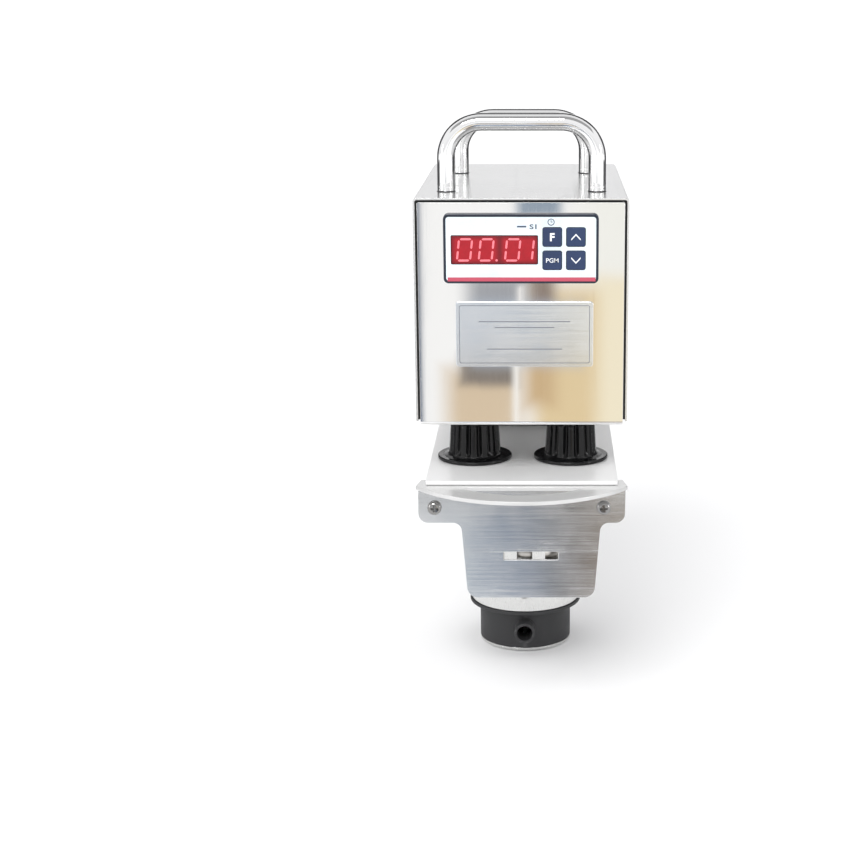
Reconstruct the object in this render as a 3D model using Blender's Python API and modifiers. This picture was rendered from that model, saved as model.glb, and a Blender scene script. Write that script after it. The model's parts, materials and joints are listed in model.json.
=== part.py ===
"""A rim-hung water circulator: a sheet-steel head on a shelf that clamps to the rim of a pot.

The head holds the controller, the supply and the pump motor. The heater, the probe, the level float and the
pump hang below the shelf. The origin is the rim seat, the underside of the pad that rests on the pot's rim.
+Z is up and -Y is the front. Sizes are in millimetres and become metres as each mesh is made.
"""

import math

import bmesh
import bpy
from mathutils import Matrix, Vector

MM = 0.001
GAP = 0.3  # clear space between neighbouring pieces
ROUND = 24  # sides of a round piece
PAST = 5.0  # how far a cutter runs out past what it cuts
LAP = 1.0  # how deep a joined shape runs into its piece

# The pot that the machine is made for
POT_RIM_RADIUS = 145.0
POT_WALL_INNER_RADIUS = 140.5
RIM_BACK = 2.7  # the rim's outer edge lies this far in front of the origin

# Shelf, pad and clamps
PAD_THICK = 1.7
PAD_WIDTH = 80.0
PAD_IN = 1.3  # the pad reaches this far behind the origin
PAD_OUT = 6.7  # and this far in front of it
PAD_STEPS = 12
SHELF_THICK = 2.0
SHELF_WIDTH = 98.2
SHELF_NOSE = 5.9  # the shelf stands this far in front of the head
SHELF_FRONT_CORNER = 1.0
SHELF_BACK_CORNER = 4.0
PUMP_HOLE_ROOM = 8.0  # from the shaft coupling to the holes that it passes
KNOB_SPACING = 51.3
KNOB_BACK = 42.4  # from the head's front to the knobs' axes
KNOB_SKIRT_RADIUS = 19.75
KNOB_SKIRT_THICK = 1.8
KNOB_GRIP_RADIUS = 13.9
KNOB_GRIP_TOP_RADIUS = 12.7
KNOB_HEIGHT = 20.0
KNOB_FLUTES = 14
FLUTE_DEPTH = 1.5
FLUTE_STEPS = 5
FLUTE_FULLNESS = 0.7  # under 1 makes a flute wider at its mouth than a sine
KNOB_CAP = 3.0  # thickness of the grip above the bore
KNOB_GRIP_FOOT = 0.8
SKIRT_DISH = 2.6  # height of the skirt where it meets the grip
SKIRT_ROLL = 3.0  # width of the skirt's flat edge
SKIRT_EDGE = 0.6  # round of the skirt's edge
SKIRT_SAG = 0.2  # how far the skirt dips inside its flat edge
SPINDLE_RADIUS = 4.0
CAM_THICK = 10.0
CAM_RADIUS = 14.5
CAM_COLLAR = 3.0  # the collar stands this far out from the spindle
TYRE_THICK = 1.5
TYRE_INSET = 0.5  # the tyre is this much lower and higher than the cam's edges
TYRE_SQUEEZE = 0.4  # how far the tyre is pressed in when the cam is fully turned

# Hook bracket in front of the rim
FLANGE_THICK = 2.0
FLANGE_HALF = 54.0
FLANGE_REACH = 29.3  # from the hook plate's face to the front of the flange
CRESCENT_HALF = 32.0
CRESCENT_BAND = 12.2  # width of flange left in front of the crescent hole
CRESCENT_BACK = 2.5  # from the hook plate's face to the hole's straight edge
FLANGE_LAP = 10.0  # the flange runs this far back over the hook plate
FLANGE_NARROWS = 2.0  # and is this much narrower there, on each side
FLANGE_STEPS = 20
CRESCENT_STEPS = 14
HOOK_THICK = 1.5
HOOK_SETBACK = 6.5  # the hook plate's face stands this far in front of the head
WING_DROP = 17.5
WING_CORNER = 5.0
WING_INSET = 1.0  # the wings end this far inside the flange's corners
TONGUE_LEFT = -31.2
TONGUE_RIGHT = 40.6
TONGUE_TAPER = 3.2
TONGUE_DROP = 58.0
TONGUE_CORNER = 6.0
TONGUE_FILLET = 4.5
SLOT_WIDTH = 28.4
SLOT_HEIGHT = 4.4
SLOT_CORNER = 0.5
SLOT_DROP = 33.0  # from the hook plate's top to the slot's top
SCREW_LEFT = -44.6
SCREW_RIGHT = 41.9
SCREW_DROP = 9.2
SCREW_RADIUS = 1.9
SCREW_HEAD_RADIUS = 3.6
SCREW_HEAD_HEIGHT = 2.2
SCREW_LENGTH = 8.0
RECESS_LONG = 1.9
RECESS_NARROW = 0.4
RECESS_FLOOR = 0.9  # material left under the cross recess
TAB_WIDTH = 13.0
TAB_DROP = 15.0
TAB_REACH = 9.0
TAB_THICK = 1.2
TAB_FOLD = 1.6
WELD_NUT_RADIUS = 3.6
WELD_NUT_THICK = 3.4

# Head
HEAD_WIDTH = 107.3
HEAD_DEPTH = 173.0
HEAD_HEIGHT = 115.7  # from the panel's bottom edge to the cover's top
HEAD_LIFT = 27.7  # from the shelf to the panel's bottom edge
HEAD_OVERHANG = 16.0  # from the head's front back to the origin
SHEET = 1.0
FOLD_RADIUS = 2.2
COVER_GAP = 1.15  # from the cover's inner face to the panel's edge
COVER_SHORT = 2.0  # the cover's sides end this far above the panel's bottom edge
VENT_COUNT = 7
VENT_WIDTH = 3.0
VENT_END = 1.35
VENT_DROP = 12.0  # from the rear wall's top edge to the middle of the first slot
VENT_LENGTH = 40.0

# Handles
TUBE_RADIUS = 4.5
HANDLE_BEND = 18.0
HANDLE_STUD_RADIUS = 2.5
HANDLE_STUD = 9.0
HANDLE_STEPS = 8
STUD_SINK = 3.0  # how deep a stud runs into its handle
NUT_RADIUS = 4.6
NUT_THICK = 5.0
FRONT_HANDLE_SPAN = 76.8
FRONT_HANDLE_HEIGHT = 39.5
FRONT_HANDLE_BACK = 30.0
REAR_HANDLE_SPAN = 70.4
REAR_HANDLE_HEIGHT = 35.5
REAR_HANDLE_BACK = 121.0

# Controller and nameplate on the front panel
BEZEL_WIDTH = 77.0
BEZEL_HEIGHT = 34.4
BEZEL_THICK = 3.0
BEZEL_RIM = 1.0
BEZEL_CORNER = 2.5
RECESS_CORNER = 1.8
FACE_CORNER = 1.5
BEZEL_DROP = 24.8  # from the cover's top to the bezel's middle
CASE_WIDTH = 71.0
CASE_HEIGHT = 29.0
CASE_DEPTH = 60.0
CASE_WALL = 1.5
FACE_THICK = 0.4
FACE_SINK = 0.1  # the face sheet stands this much proud of its recess's depth
BOARD_WALL_ROOM = 0.6  # from the controller's board to its case
WINDOW_LEFT = -34.8
WINDOW_WIDTH = 43.3
WINDOW_HEIGHT = 14.6
WINDOW_THICK = 1.0
WINDOW_CORNER = 0.7
PANE_CORNER = 0.6
MODULE_DEPTH = 8.0
MODULE_INSET = 1.4  # the lit module stands this far inside the window's outline
WINDOW_BELOW = 0.4  # the window's middle lies this far below the bezel's middle
KEY_WIDTH = 9.2
KEY_TRAVEL = 0.6
KEY_PROUD = 0.5
KEY_CORNER = 1.0
KEY_HOLE_CORNER = 1.2
KEY_COLUMNS = (15.5, 27.2)
KEY_ROWS = (6.0, -5.6)  # above and below the bezel's middle
PLATE_WIDTH = 69.0
PLATE_HEIGHT = 33.0
PLATE_THICK = 0.8
PLATE_CORNER = 1.5
PLATE_RIGHT = 1.6
PLATE_DROP = 68.2

# Motor, shaft and fan
MOTOR_RADIUS = 27.0
MOTOR_BACK_ROOM = 9.0  # from the motor to the head's back
MOTOR_HEIGHT = 52.0
BELL_STEP = 3.0  # the end bells are this much smaller in radius
BELL_LENGTH = 8.0
MOTOR_LIFT = 14.0  # from the chassis floor to the mount plate
MOUNT_THICK = 3.0
MOUNT_EAR = 5.0  # the mount reaches this far out past the motor on each side
MOUNT_CORNER = 4.0
MOUNT_LEG_RADIUS = 3.5
MOUNT_HOLE_ROOM = 2.0
SHAFT_RADIUS = 3.0
SHAFT_TOP_ROOM = 1.0  # the shaft ends this far above the fan
COUPLING_RADIUS = 8.0
COUPLING_TOP_ROOM = 3.0
COUPLING_LOW_ROOM = 4.0
FAN_RADIUS = 23.0
FAN_HEIGHT = 9.0
FAN_HUB_RADIUS = 7.0
FAN_BLADES = 7
FAN_PITCH = 35.0
FAN_ROOM = 4.0  # from the motor up to the fan
BLADE_THICK = 1.4
NECK_WIDTH = 54.0
NECK_DEPTH = 52.0
NECK_WALL = 2.5
NECK_CORNER = 6.0

# Immersed pieces, hung from the base flange
BASE_RIM = 2.0  # the base flange stands this far out past the heater guard
BASE_THICK = 4.0
BASE_EDGE = 0.6
PUMP_TUBE_RADIUS = 10.0
PUMP_TUBE_WALL = 2.0
TUBE_LENGTH = 104.0
HOUSING_RADIUS = 27.0
HOUSING_HEIGHT = 24.0
HOUSING_WALL = 3.0
HOUSING_FLANGE = 2.0
HOUSING_RIM = 1.0  # the housing's flange stands this far out past the guard
SHAFT_HOLE_ROOM = 1.0
NOZZLE_RADIUS = 6.0
NOZZLE_WALL = 1.5
NOZZLE_LENGTH = 9.0
IMPELLER_LIFT = 5.0  # from the housing's mouth to the impeller
IMPELLER_HEIGHT = 12.0
IMPELLER_HUB_RADIUS = 7.0
IMPELLER_DISC = 1.5
IMPELLER_DISC_DROP = 2.0
VANES = 6
VANE_THICK = 1.6
VANE_TURN = 15.0  # degrees from the X axis to the first vane
GRILLE_BARS = 5
GRILLE_PITCH = 8.0
GRILLE_SLOT = 3.0
GRILLE_SLOT_SHARE = 0.75  # of the mouth's width at each slot
GRILLE_SLOT_END = 1.2
IMPELLER_ROOM = 4.0  # from the vanes' tips to the housing's wall
GRILLE_THICK = 1.6
GUARD_ROOM = 3.75  # from the heater's turns to the guard
GUARD_HEIGHT = 64.0
GUARD_WALL = 1.0
GUARD_SLOT = 9.0
GUARD_SLOT_END = 4.2
GUARD_SLOT_ROOM = 8.0  # from a slot's ends to the guard's ends
HEATER_RADIUS = 24.0
HEATER_WIRE = 3.25
HEATER_TURNS = 4
HEATER_PITCH = 11.0
HEATER_TOP = 54.0  # from the origin down to the first turn
HEATER_BEND = 8.0
HEATER_INWARD = 60.0  # degrees over which the last turn runs in to the return lead
PROBE_RADIUS = 2.5
PROBE_LENGTH = 88.0
PROBE_ANGLE = -60.0
PROBE_TIP = 2.0
FLOAT_ROOM = 4.0  # from the float to the pump tube
FLOAT_RADIUS = 8.0
FLOAT_HEIGHT = 14.0
FLOAT_STEM_RADIUS = 2.0
FLOAT_STEM_LENGTH = 38.0
FLOAT_STOP = 2.0  # height of the stop under the float
FLOAT_STOP_REACH = 2.5
FLOAT_EDGE = 1.5

# Supply
BOARD_SIDE_ROOM = 6.5
BOARD_FRONT_ROOM = 8.0
BOARD_BACK_ROOM = 10.0
BOARD_THICK = 1.6
BOARD_LIFT = 5.0
BOARD_LEG_RADIUS = 3.0
BOARD_LEG_INSET = 5.0
TRANSFORMER_LEFT = -22.0
TRANSFORMER_RIGHT = 18.0
TRANSFORMER_DEPTH = 32.0
TRANSFORMER_HEIGHT = 27.0
WINDING_INSET = 6.0
WINDING_DEPTH = 44.0
WINDING_STEP = 4.0
RELAY_LEFT = 24.0
RELAY_WIDTH = 15.0
RELAY_DEPTH = 28.0
RELAY_HEIGHT = 20.0
TERMINALS_LEFT = -41.0
TERMINALS_WIDTH = 11.0
TERMINALS_DEPTH = 48.0
TERMINALS_HEIGHT = 14.0
TERMINAL_COUNT = 6
TERMINAL_PITCH = 8.0
TERMINAL_WIDTH = 5.0
TERMINAL_FLOOR = 6.0
TERMINAL_MOUTH = 6.0
INLET_WIDTH = 27.0
INLET_HEIGHT = 20.0
INLET_DEPTH = 18.0
FITTING_LIP = 2.0  # a fitting's flange stands this far out past its body
INLET_LIP_THICK = 2.5
INLET_LIP_CORNER = 2.0
SOCKET_WIDTH = 24.0
SOCKET_HEIGHT = 16.0
SOCKET_CHAMFER = 4.0
SOCKET_CORNER = 1.0
INLET_WALL = 3.0
PIN_PLACES = ((-7.0, -1.0), (0.0, 2.5), (7.0, -1.0))
PIN_WIDTH = 2.0
PIN_HEIGHT = 4.0
PIN_SETBACK = 2.0
REAR_INSET = 13.5  # from the chassis's side to the middles of the inlet and the switch
INLET_LIFT = 4.0  # from the motor mount's top to the inlet
SWITCH_WIDTH = 13.0
SWITCH_HEIGHT = 20.0
SWITCH_DEPTH = 16.0
SWITCH_LIP_THICK = 2.0
SWITCH_LIP_CORNER = 1.5
SWITCH_WALL = 2.0
SWITCH_WELL = 7.0
ROCKER_CREST = 4.0  # height of the rocker's ends over its pivot
ROCKER_DIP = 2.4
ROCKER_ROOT = 2.0
ROCKER_ROOM = 0.6
ROCKER_TILT = 7.0
FUSE_RADIUS = 6.0
FUSE_DEPTH = 20.0
FUSE_CAP_THICK = 4.0
FUSE_SLOT_LONG = 8.0
FUSE_SLOT_WIDTH = 1.2
FUSE_SLOT_DEEP = 1.0
FUSE_LIFT = 28.0  # from the inlet's middle up to the fuse holder's axis

# Places worked out from the sizes above
SHELF_TOP = PAD_THICK + GAP + SHELF_THICK
SHELF_UNDER = PAD_THICK + GAP
FRONT = -HEAD_OVERHANG
BACK = FRONT + HEAD_DEPTH
BOTTOM = SHELF_TOP + HEAD_LIFT
TOP = BOTTOM + HEAD_HEIGHT
FLOOR = BOTTOM + SHEET
PANEL_HALF = HEAD_WIDTH / 2 - SHEET - COVER_GAP
PANEL_TOP = TOP - SHEET - COVER_GAP
POT_AXIS = POT_RIM_RADIUS - RIM_BACK
KNOB_X = KNOB_SPACING / 2
KNOB_Y = FRONT + KNOB_BACK
PUMP_Y = BACK - MOTOR_BACK_ROOM - MOTOR_RADIUS
CAM_TOP = -3.0
HOOK_FRONT = FRONT - HOOK_SETBACK
HOOK_TOP = SHELF_UNDER - GAP - FLANGE_THICK - GAP
BEZEL_Z = TOP - BEZEL_DROP
WINDOW_Z = BEZEL_Z - WINDOW_BELOW
WINDOW_X = WINDOW_LEFT + WINDOW_WIDTH / 2
BEZEL_BACK = FRONT - GAP
BEZEL_FRONT = BEZEL_BACK - BEZEL_THICK
BOARD_Z = FLOOR + GAP + BOARD_LIFT
BOARD_WIDTH = 2 * (PANEL_HALF - BOARD_SIDE_ROOM)
BOARD_FRONT = FRONT + SHEET + BOARD_FRONT_ROOM
BOARD_BACK = PUMP_Y - MOTOR_RADIUS - BOARD_BACK_ROOM
BOARD_Y = (BOARD_FRONT + BOARD_BACK) / 2
REAR_SPACING = PANEL_HALF - REAR_INSET
PUMP_HOLE_RADIUS = COUPLING_RADIUS + PUMP_HOLE_ROOM
MOUNT_Z = FLOOR + GAP + MOTOR_LIFT
MOTOR_Z = MOUNT_Z + MOUNT_THICK + GAP
INLET_Z = MOTOR_Z + INLET_LIFT + INLET_HEIGHT / 2
FUSE_Z = INLET_Z + FUSE_LIFT
FAN_Z = MOTOR_Z + MOTOR_HEIGHT + FAN_ROOM
BASE_TOP = SHELF_UNDER - GAP
TUBE_TOP = BASE_TOP - BASE_THICK - GAP
HOUSING_TOP = TUBE_TOP - TUBE_LENGTH - GAP
HOUSING_BOTTOM = HOUSING_TOP - HOUSING_HEIGHT
GUARD_BOTTOM = HOUSING_TOP + GAP
GUARD_RADIUS = HEATER_RADIUS + HEATER_WIRE + GUARD_ROOM + GUARD_WALL
BASE_RADIUS = GUARD_RADIUS + BASE_RIM
IMPELLER_RADIUS = HOUSING_RADIUS - HOUSING_WALL - IMPELLER_ROOM
INNER_RADIUS = (PUMP_TUBE_RADIUS + HEATER_RADIUS - HEATER_WIRE) / 2  # circle of the return lead and the probe
FLOAT_OFFSET = PUMP_TUBE_RADIUS + FLOAT_ROOM + FLOAT_RADIUS

STEEL = ((0.62, 0.62, 0.61), 0.3, 1.0)
SATIN_STEEL = ((0.66, 0.66, 0.65), 0.38, 1.0)
POLISHED_STEEL = ((0.72, 0.71, 0.69), 0.08, 1.0)
CHROME = ((0.8, 0.8, 0.8), 0.05, 1.0)
BLACK_GLOSS = ((0.012, 0.012, 0.013), 0.22, 0.0)
BLACK_MATT = ((0.03, 0.03, 0.032), 0.6, 0.0)
NAVY = ((0.035, 0.06, 0.13), 0.45, 0.0)
PALE_FACE = ((0.82, 0.9, 0.96), 0.4, 0.0)
WINDOW_RED = ((0.3, 0.01, 0.015), 0.1, 0.0)
SILICONE = ((0.25, 0.25, 0.26), 0.7, 0.0)
BOARD_GREEN = ((0.03, 0.2, 0.08), 0.5, 0.0)
FOOD_STEEL = ((0.6, 0.6, 0.6), 0.25, 1.0)
WHITE_PLASTIC = ((0.75, 0.75, 0.73), 0.45, 0.0)

parts = bpy.data.collections.new("sous_vide_circulator")
cutters = bpy.data.collections.new("cutters")


def clear_scene():
    """Removes the scene's objects and makes the two collections ready."""
    for obj in list(bpy.data.objects):
        bpy.data.objects.remove(obj, do_unlink=True)
    bpy.context.scene.collection.children.link(parts)
    bpy.context.scene.collection.children.link(cutters)


def finish_of(name, finish):
    """A Principled material with the finish's colour, roughness and metallic value."""
    colour, roughness, metallic = finish
    material = bpy.data.materials.new(name)
    material.use_nodes = True
    shader = material.node_tree.nodes["Principled BSDF"]
    shader.inputs["Base Color"].default_value = (*colour, 1.0)
    shader.inputs["Roughness"].default_value = roughness
    shader.inputs["Metallic"].default_value = metallic
    return material


def place(name, mesh, at, finish):
    """An object for the mesh at a place in millimetres. Without a finish it is a cutter or a piece to join."""
    obj = bpy.data.objects.new(name, mesh)
    obj.location = Vector(at) * MM
    if finish:
        parts.objects.link(obj)
        mesh.materials.append(finish_of(name, finish))
    else:
        cutters.objects.link(obj)
        obj.hide_render = True
        obj.display_type = "WIRE"
    return obj


def mesh_from(shape, name):
    """A mesh in metres from a bmesh in millimetres, with its faces turned outwards."""
    bmesh.ops.recalc_face_normals(shape, faces=shape.faces)
    shape.transform(Matrix.Scale(MM, 4))
    mesh = bpy.data.meshes.new(name)
    shape.to_mesh(mesh)
    shape.free()
    return mesh


def smooth(obj, degrees=35):
    """Shades the piece smooth, with sharp edges where its faces meet steeply."""
    obj.data.shade_smooth()
    obj.data.set_sharp_from_angle(angle=math.radians(degrees))
    return obj


def box(name, low, high, finish=None, at=(0, 0, 0)):
    """A block between two corners, counted from its own place."""
    size = Vector(high) - Vector(low)
    middle = (Vector(high) + Vector(low)) / 2
    shape = bmesh.new()
    bmesh.ops.create_cube(shape, size=1)
    bmesh.ops.scale(shape, vec=size, verts=shape.verts)
    bmesh.ops.translate(shape, vec=middle, verts=shape.verts)
    return place(name, mesh_from(shape, name), at, finish)


def cylinder(name, radius, low, high, finish=None, at=(0, 0, 0), axis="Z", sides=ROUND):
    """A cylinder along one axis, from low to high, counted from its own place."""
    shape = bmesh.new()
    size = {"radius1": radius, "radius2": radius, "depth": high - low}
    bmesh.ops.create_cone(shape, cap_ends=True, segments=sides, **size)
    bmesh.ops.translate(shape, vec=(0, 0, (high + low) / 2), verts=shape.verts)
    turns = {"X": Matrix.Rotation(math.pi / 2, 3, "Y"), "Y": Matrix.Rotation(-math.pi / 2, 3, "X")}
    if axis in turns:
        bmesh.ops.rotate(shape, matrix=turns[axis], verts=shape.verts)
    return smooth(place(name, mesh_from(shape, name), at, finish))


def turned(name, profile, finish=None, at=(0, 0, 0), sides=ROUND, ring=False):
    """A profile of (radius, height) points, down its outer side, turned round Z. A ring's profile is closed."""
    shape = bmesh.new()
    points = [shape.verts.new((radius, 0, height)) for radius, height in profile]
    for first, second in zip(points, points[1:]):
        shape.edges.new((first, second))
    if ring:
        shape.edges.new((points[-1], points[0]))
    shape.transform(Matrix.Scale(MM, 4))
    mesh = bpy.data.meshes.new(name)
    shape.to_mesh(mesh)
    shape.free()
    obj = place(name, mesh, at, finish)
    screw = obj.modifiers.new("turn", "SCREW")
    screw.steps = sides
    screw.render_steps = sides
    screw.use_merge_vertices = True
    screw.merge_threshold = 0.00001
    screw.use_smooth_shade = True
    return obj


def mesh_of_curve(curve, name):
    """The closed mesh of a curve drawn in millimetres, made metres, with its loose caps welded on."""
    guide = bpy.data.objects.new(name, curve)
    bpy.context.scene.collection.objects.link(guide)
    graph = bpy.context.evaluated_depsgraph_get()
    mesh = bpy.data.meshes.new_from_object(guide.evaluated_get(graph))
    bpy.data.objects.remove(guide, do_unlink=True)
    shape = bmesh.new()
    shape.from_mesh(mesh)
    bmesh.ops.remove_doubles(shape, verts=shape.verts, dist=0.001)
    bmesh.ops.recalc_face_normals(shape, faces=shape.faces)
    shape.transform(Matrix.Scale(MM, 4))
    shape.to_mesh(mesh)
    shape.free()
    mesh.materials.clear()
    return mesh


def plate(name, outlines, low, high, finish=None, at=(0, 0, 0), axis="Z"):
    """A flat outline with any holes, drawn across the axis and given its thickness from low to high.

    Outlines hold (x, y) points across Z, (x, z) points across Y and (y, z) points across X.
    """
    curve = bpy.data.curves.new(name, "CURVE")
    curve.dimensions = "2D"
    curve.fill_mode = "BOTH"
    curve.extrude = (high - low) / 2
    for outline in outlines:
        spline = curve.splines.new("POLY")
        spline.points.add(len(outline) - 1)
        for point, (u, v) in zip(spline.points, outline):
            point.co = (u, v, 0, 1)
        spline.use_cyclic_u = True
    mesh = mesh_of_curve(curve, name)
    turns = {
        "X": Matrix(((0, 0, 1, 0), (1, 0, 0, 0), (0, 1, 0, 0), (0, 0, 0, 1))),
        "Y": Matrix.Rotation(math.pi / 2, 4, "X"),
        "Z": Matrix.Identity(4),
    }
    middle = (high + low) / 2 * MM
    shift = {"X": (middle, 0, 0), "Y": (0, middle, 0), "Z": (0, 0, middle)}
    mesh.transform(Matrix.Translation(shift[axis]) @ turns[axis])
    return place(name, mesh, at, finish)


def tube(name, points, radius, finish=None, at=(0, 0, 0), resolution=2):
    """A round bar along a line of points."""
    curve = bpy.data.curves.new(name, "CURVE")
    curve.dimensions = "3D"
    curve.bevel_depth = radius
    curve.bevel_resolution = resolution
    curve.use_fill_caps = True
    spline = curve.splines.new("POLY")
    spline.points.add(len(points) - 1)
    for point, (x, y, z) in zip(spline.points, points):
        point.co = (x, y, z, 1)
    return smooth(place(name, mesh_of_curve(curve, name), at, finish), 50)


def cut(obj, *tools):
    """Takes the tools' shapes out of the piece."""
    for tool in tools:
        boolean = obj.modifiers.new("cut", "BOOLEAN")
        boolean.operation = "DIFFERENCE"
        boolean.object = tool
    return obj


def join(obj, *tools):
    """Adds the tools' shapes to the piece."""
    for tool in tools:
        boolean = obj.modifiers.new("join", "BOOLEAN")
        boolean.operation = "UNION"
        boolean.object = tool
    return obj


def arc(centre, radius, start, end, steps):
    """Points along an arc, from one angle in degrees to another."""
    angles = [math.radians(start + (end - start) * k / steps) for k in range(steps + 1)]
    return [(centre[0] + radius * math.cos(a), centre[1] + radius * math.sin(a)) for a in angles]


def circle(u, v, radius, sides=ROUND):
    """A closed round outline."""
    return arc((u, v), radius, 0, 360 - 360 / sides, sides - 1)


def rounded(corners, steps=3):
    """The closed outline through (u, v, radius) corners, with an arc in each corner that has a radius."""
    points = []
    for index, (u, v, radius) in enumerate(corners):
        here = Vector((u, v))
        if not radius:
            points.append((u, v))
            continue
        back = (Vector(corners[index - 1][:2]) - here).normalized()
        ahead = (Vector(corners[(index + 1) % len(corners)][:2]) - here).normalized()
        half = back.angle(ahead) / 2
        centre = here + (back + ahead).normalized() * radius / math.sin(half)
        start = here + back * radius / math.tan(half) - centre
        end = here + ahead * radius / math.tan(half) - centre
        points += [tuple(centre + start.slerp(end, k / steps).normalized() * radius) for k in range(steps + 1)]
    return points


def rectangle(u, v, width, height, radius=0.0):
    """A rectangle about its middle, with rounded corners where a radius is given."""
    left, right = u - width / 2, u + width / 2
    low, high = v - height / 2, v + height / 2
    return rounded([(left, low, radius), (right, low, radius), (right, high, radius), (left, high, radius)])


def build_chassis():
    """Front panel, floor and rear wall, folded from one sheet, with the openings that its fittings need."""
    inner = FOLD_RADIUS - SHEET
    profile = rounded([
        (FRONT, PANEL_TOP, 0), (FRONT, BOTTOM, FOLD_RADIUS), (BACK, BOTTOM, FOLD_RADIUS), (BACK, PANEL_TOP, 0),
        (BACK - SHEET, PANEL_TOP, 0), (BACK - SHEET, FLOOR, inner), (FRONT + SHEET, FLOOR, inner),
        (FRONT + SHEET, PANEL_TOP, 0),
    ])
    chassis = plate("chassis", [profile], -PANEL_HALF, PANEL_HALF, POLISHED_STEEL, axis="X")
    through_front = (FRONT - PAST, FRONT + PAST)
    through_back = (BACK - PAST, BACK + PAST)
    cut(
        chassis,
        plate("controller_cutout", [rectangle(0, BEZEL_Z, CASE_WIDTH + 2 * GAP, CASE_HEIGHT + 2 * GAP)],
              *through_front, axis="Y"),
        cylinder("floor_cutout", PUMP_HOLE_RADIUS, BOTTOM - PAST, FLOOR + PAST, at=(0, PUMP_Y, 0)),
        plate("inlet_cutout", [rectangle(-REAR_SPACING, INLET_Z, INLET_WIDTH + 2 * GAP,
                                         INLET_HEIGHT + 2 * GAP)], *through_back, axis="Y"),
        plate("switch_cutout", [rectangle(REAR_SPACING, INLET_Z, SWITCH_WIDTH + 2 * GAP,
                                          SWITCH_HEIGHT + 2 * GAP)], *through_back, axis="Y"),
        cylinder("fuse_cutout", FUSE_RADIUS + GAP, *through_back, at=(-REAR_SPACING, 0, FUSE_Z), axis="Y"),
    )
    for index in range(VENT_COUNT):
        height = PANEL_TOP - VENT_DROP - 2 * VENT_WIDTH * index
        slot = rectangle(0, height, VENT_LENGTH, VENT_WIDTH, VENT_END)
        cut(chassis, plate(f"vent_cutout_{index + 1}", [slot], *through_back, axis="Y"))
    return smooth(chassis)


def handle_feet():
    """Where the four handle feet stand, as (x, y)."""
    front = [(side * FRONT_HANDLE_SPAN / 2, FRONT + FRONT_HANDLE_BACK) for side in (-1, 1)]
    rear = [(side * REAR_HANDLE_SPAN / 2, FRONT + REAR_HANDLE_BACK) for side in (-1, 1)]
    return front + rear


def build_cover():
    """The inverted U over the chassis, with a hole for each handle stud."""
    side = HEAD_WIDTH / 2
    low = BOTTOM + COVER_SHORT
    inner = FOLD_RADIUS - SHEET
    profile = rounded([
        (-side, low, 0), (-side, TOP, FOLD_RADIUS), (side, TOP, FOLD_RADIUS), (side, low, 0),
        (side - SHEET, low, 0), (side - SHEET, TOP - SHEET, inner), (SHEET - side, TOP - SHEET, inner),
        (SHEET - side, low, 0),
    ])
    cover = plate("cover", [profile], FRONT, BACK, SATIN_STEEL, axis="Y")
    for index, (x, y) in enumerate(handle_feet()):
        bore = HANDLE_STUD_RADIUS + GAP
        cut(cover, cylinder(f"stud_cutout_{index + 1}", bore, TOP - PAST, TOP + PAST, at=(x, y, 0), sides=12))
    return smooth(cover)


def build_handle(name, span, height, back):
    """A tube bent into a U, with a threaded stud under each foot."""
    half = span / 2
    low = TOP + GAP
    bar = TOP + height - TUBE_RADIUS
    bend = HANDLE_BEND
    left = arc((-half + bend, bar - bend), bend, 180, 90, HANDLE_STEPS)
    right = arc((half - bend, bar - bend), bend, 90, 0, HANDLE_STEPS)
    line = [(-half, low)] + left + right + [(half, low)]
    points = [(x, 0, z) for x, z in line]
    handle = tube(name, points, TUBE_RADIUS, CHROME, at=(0, FRONT + back, 0), resolution=4)
    for side in (-1, 1):
        stud = cylinder(f"{name}_stud_{side}", HANDLE_STUD_RADIUS, TOP - HANDLE_STUD, low + STUD_SINK,
                        at=(side * half, FRONT + back, 0), sides=10)
        join(handle, stud)
    return handle


def build_handle_nuts():
    """A hexagon nut on each stud, inside the cover."""
    for index, (x, y) in enumerate(handle_feet()):
        at = (x, y, TOP - SHEET - GAP)
        nut = cylinder(f"handle_nut_{index + 1}", NUT_RADIUS, -NUT_THICK, 0, STEEL, at, sides=6)
        bore = HANDLE_STUD_RADIUS + GAP
        cut(nut, cylinder(f"nut_bore_{index + 1}", bore, -NUT_THICK - PAST, PAST, at=at, sides=12))


def build_nameplate():
    """A thin blank plate on the front panel."""
    outline = rectangle(PLATE_RIGHT, TOP - PLATE_DROP, PLATE_WIDTH, PLATE_HEIGHT, PLATE_CORNER)
    return plate("nameplate", [outline], BEZEL_BACK - PLATE_THICK, BEZEL_BACK, SATIN_STEEL, axis="Y")


def key_places():
    """Name and centre, as (x, z), of each key."""
    names = (("key_function", "key_up"), ("key_program", "key_down"))
    return [
        (names[row][column], KEY_COLUMNS[column], BEZEL_Z + KEY_ROWS[row])
        for row in range(2)
        for column in range(2)
    ]


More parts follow.
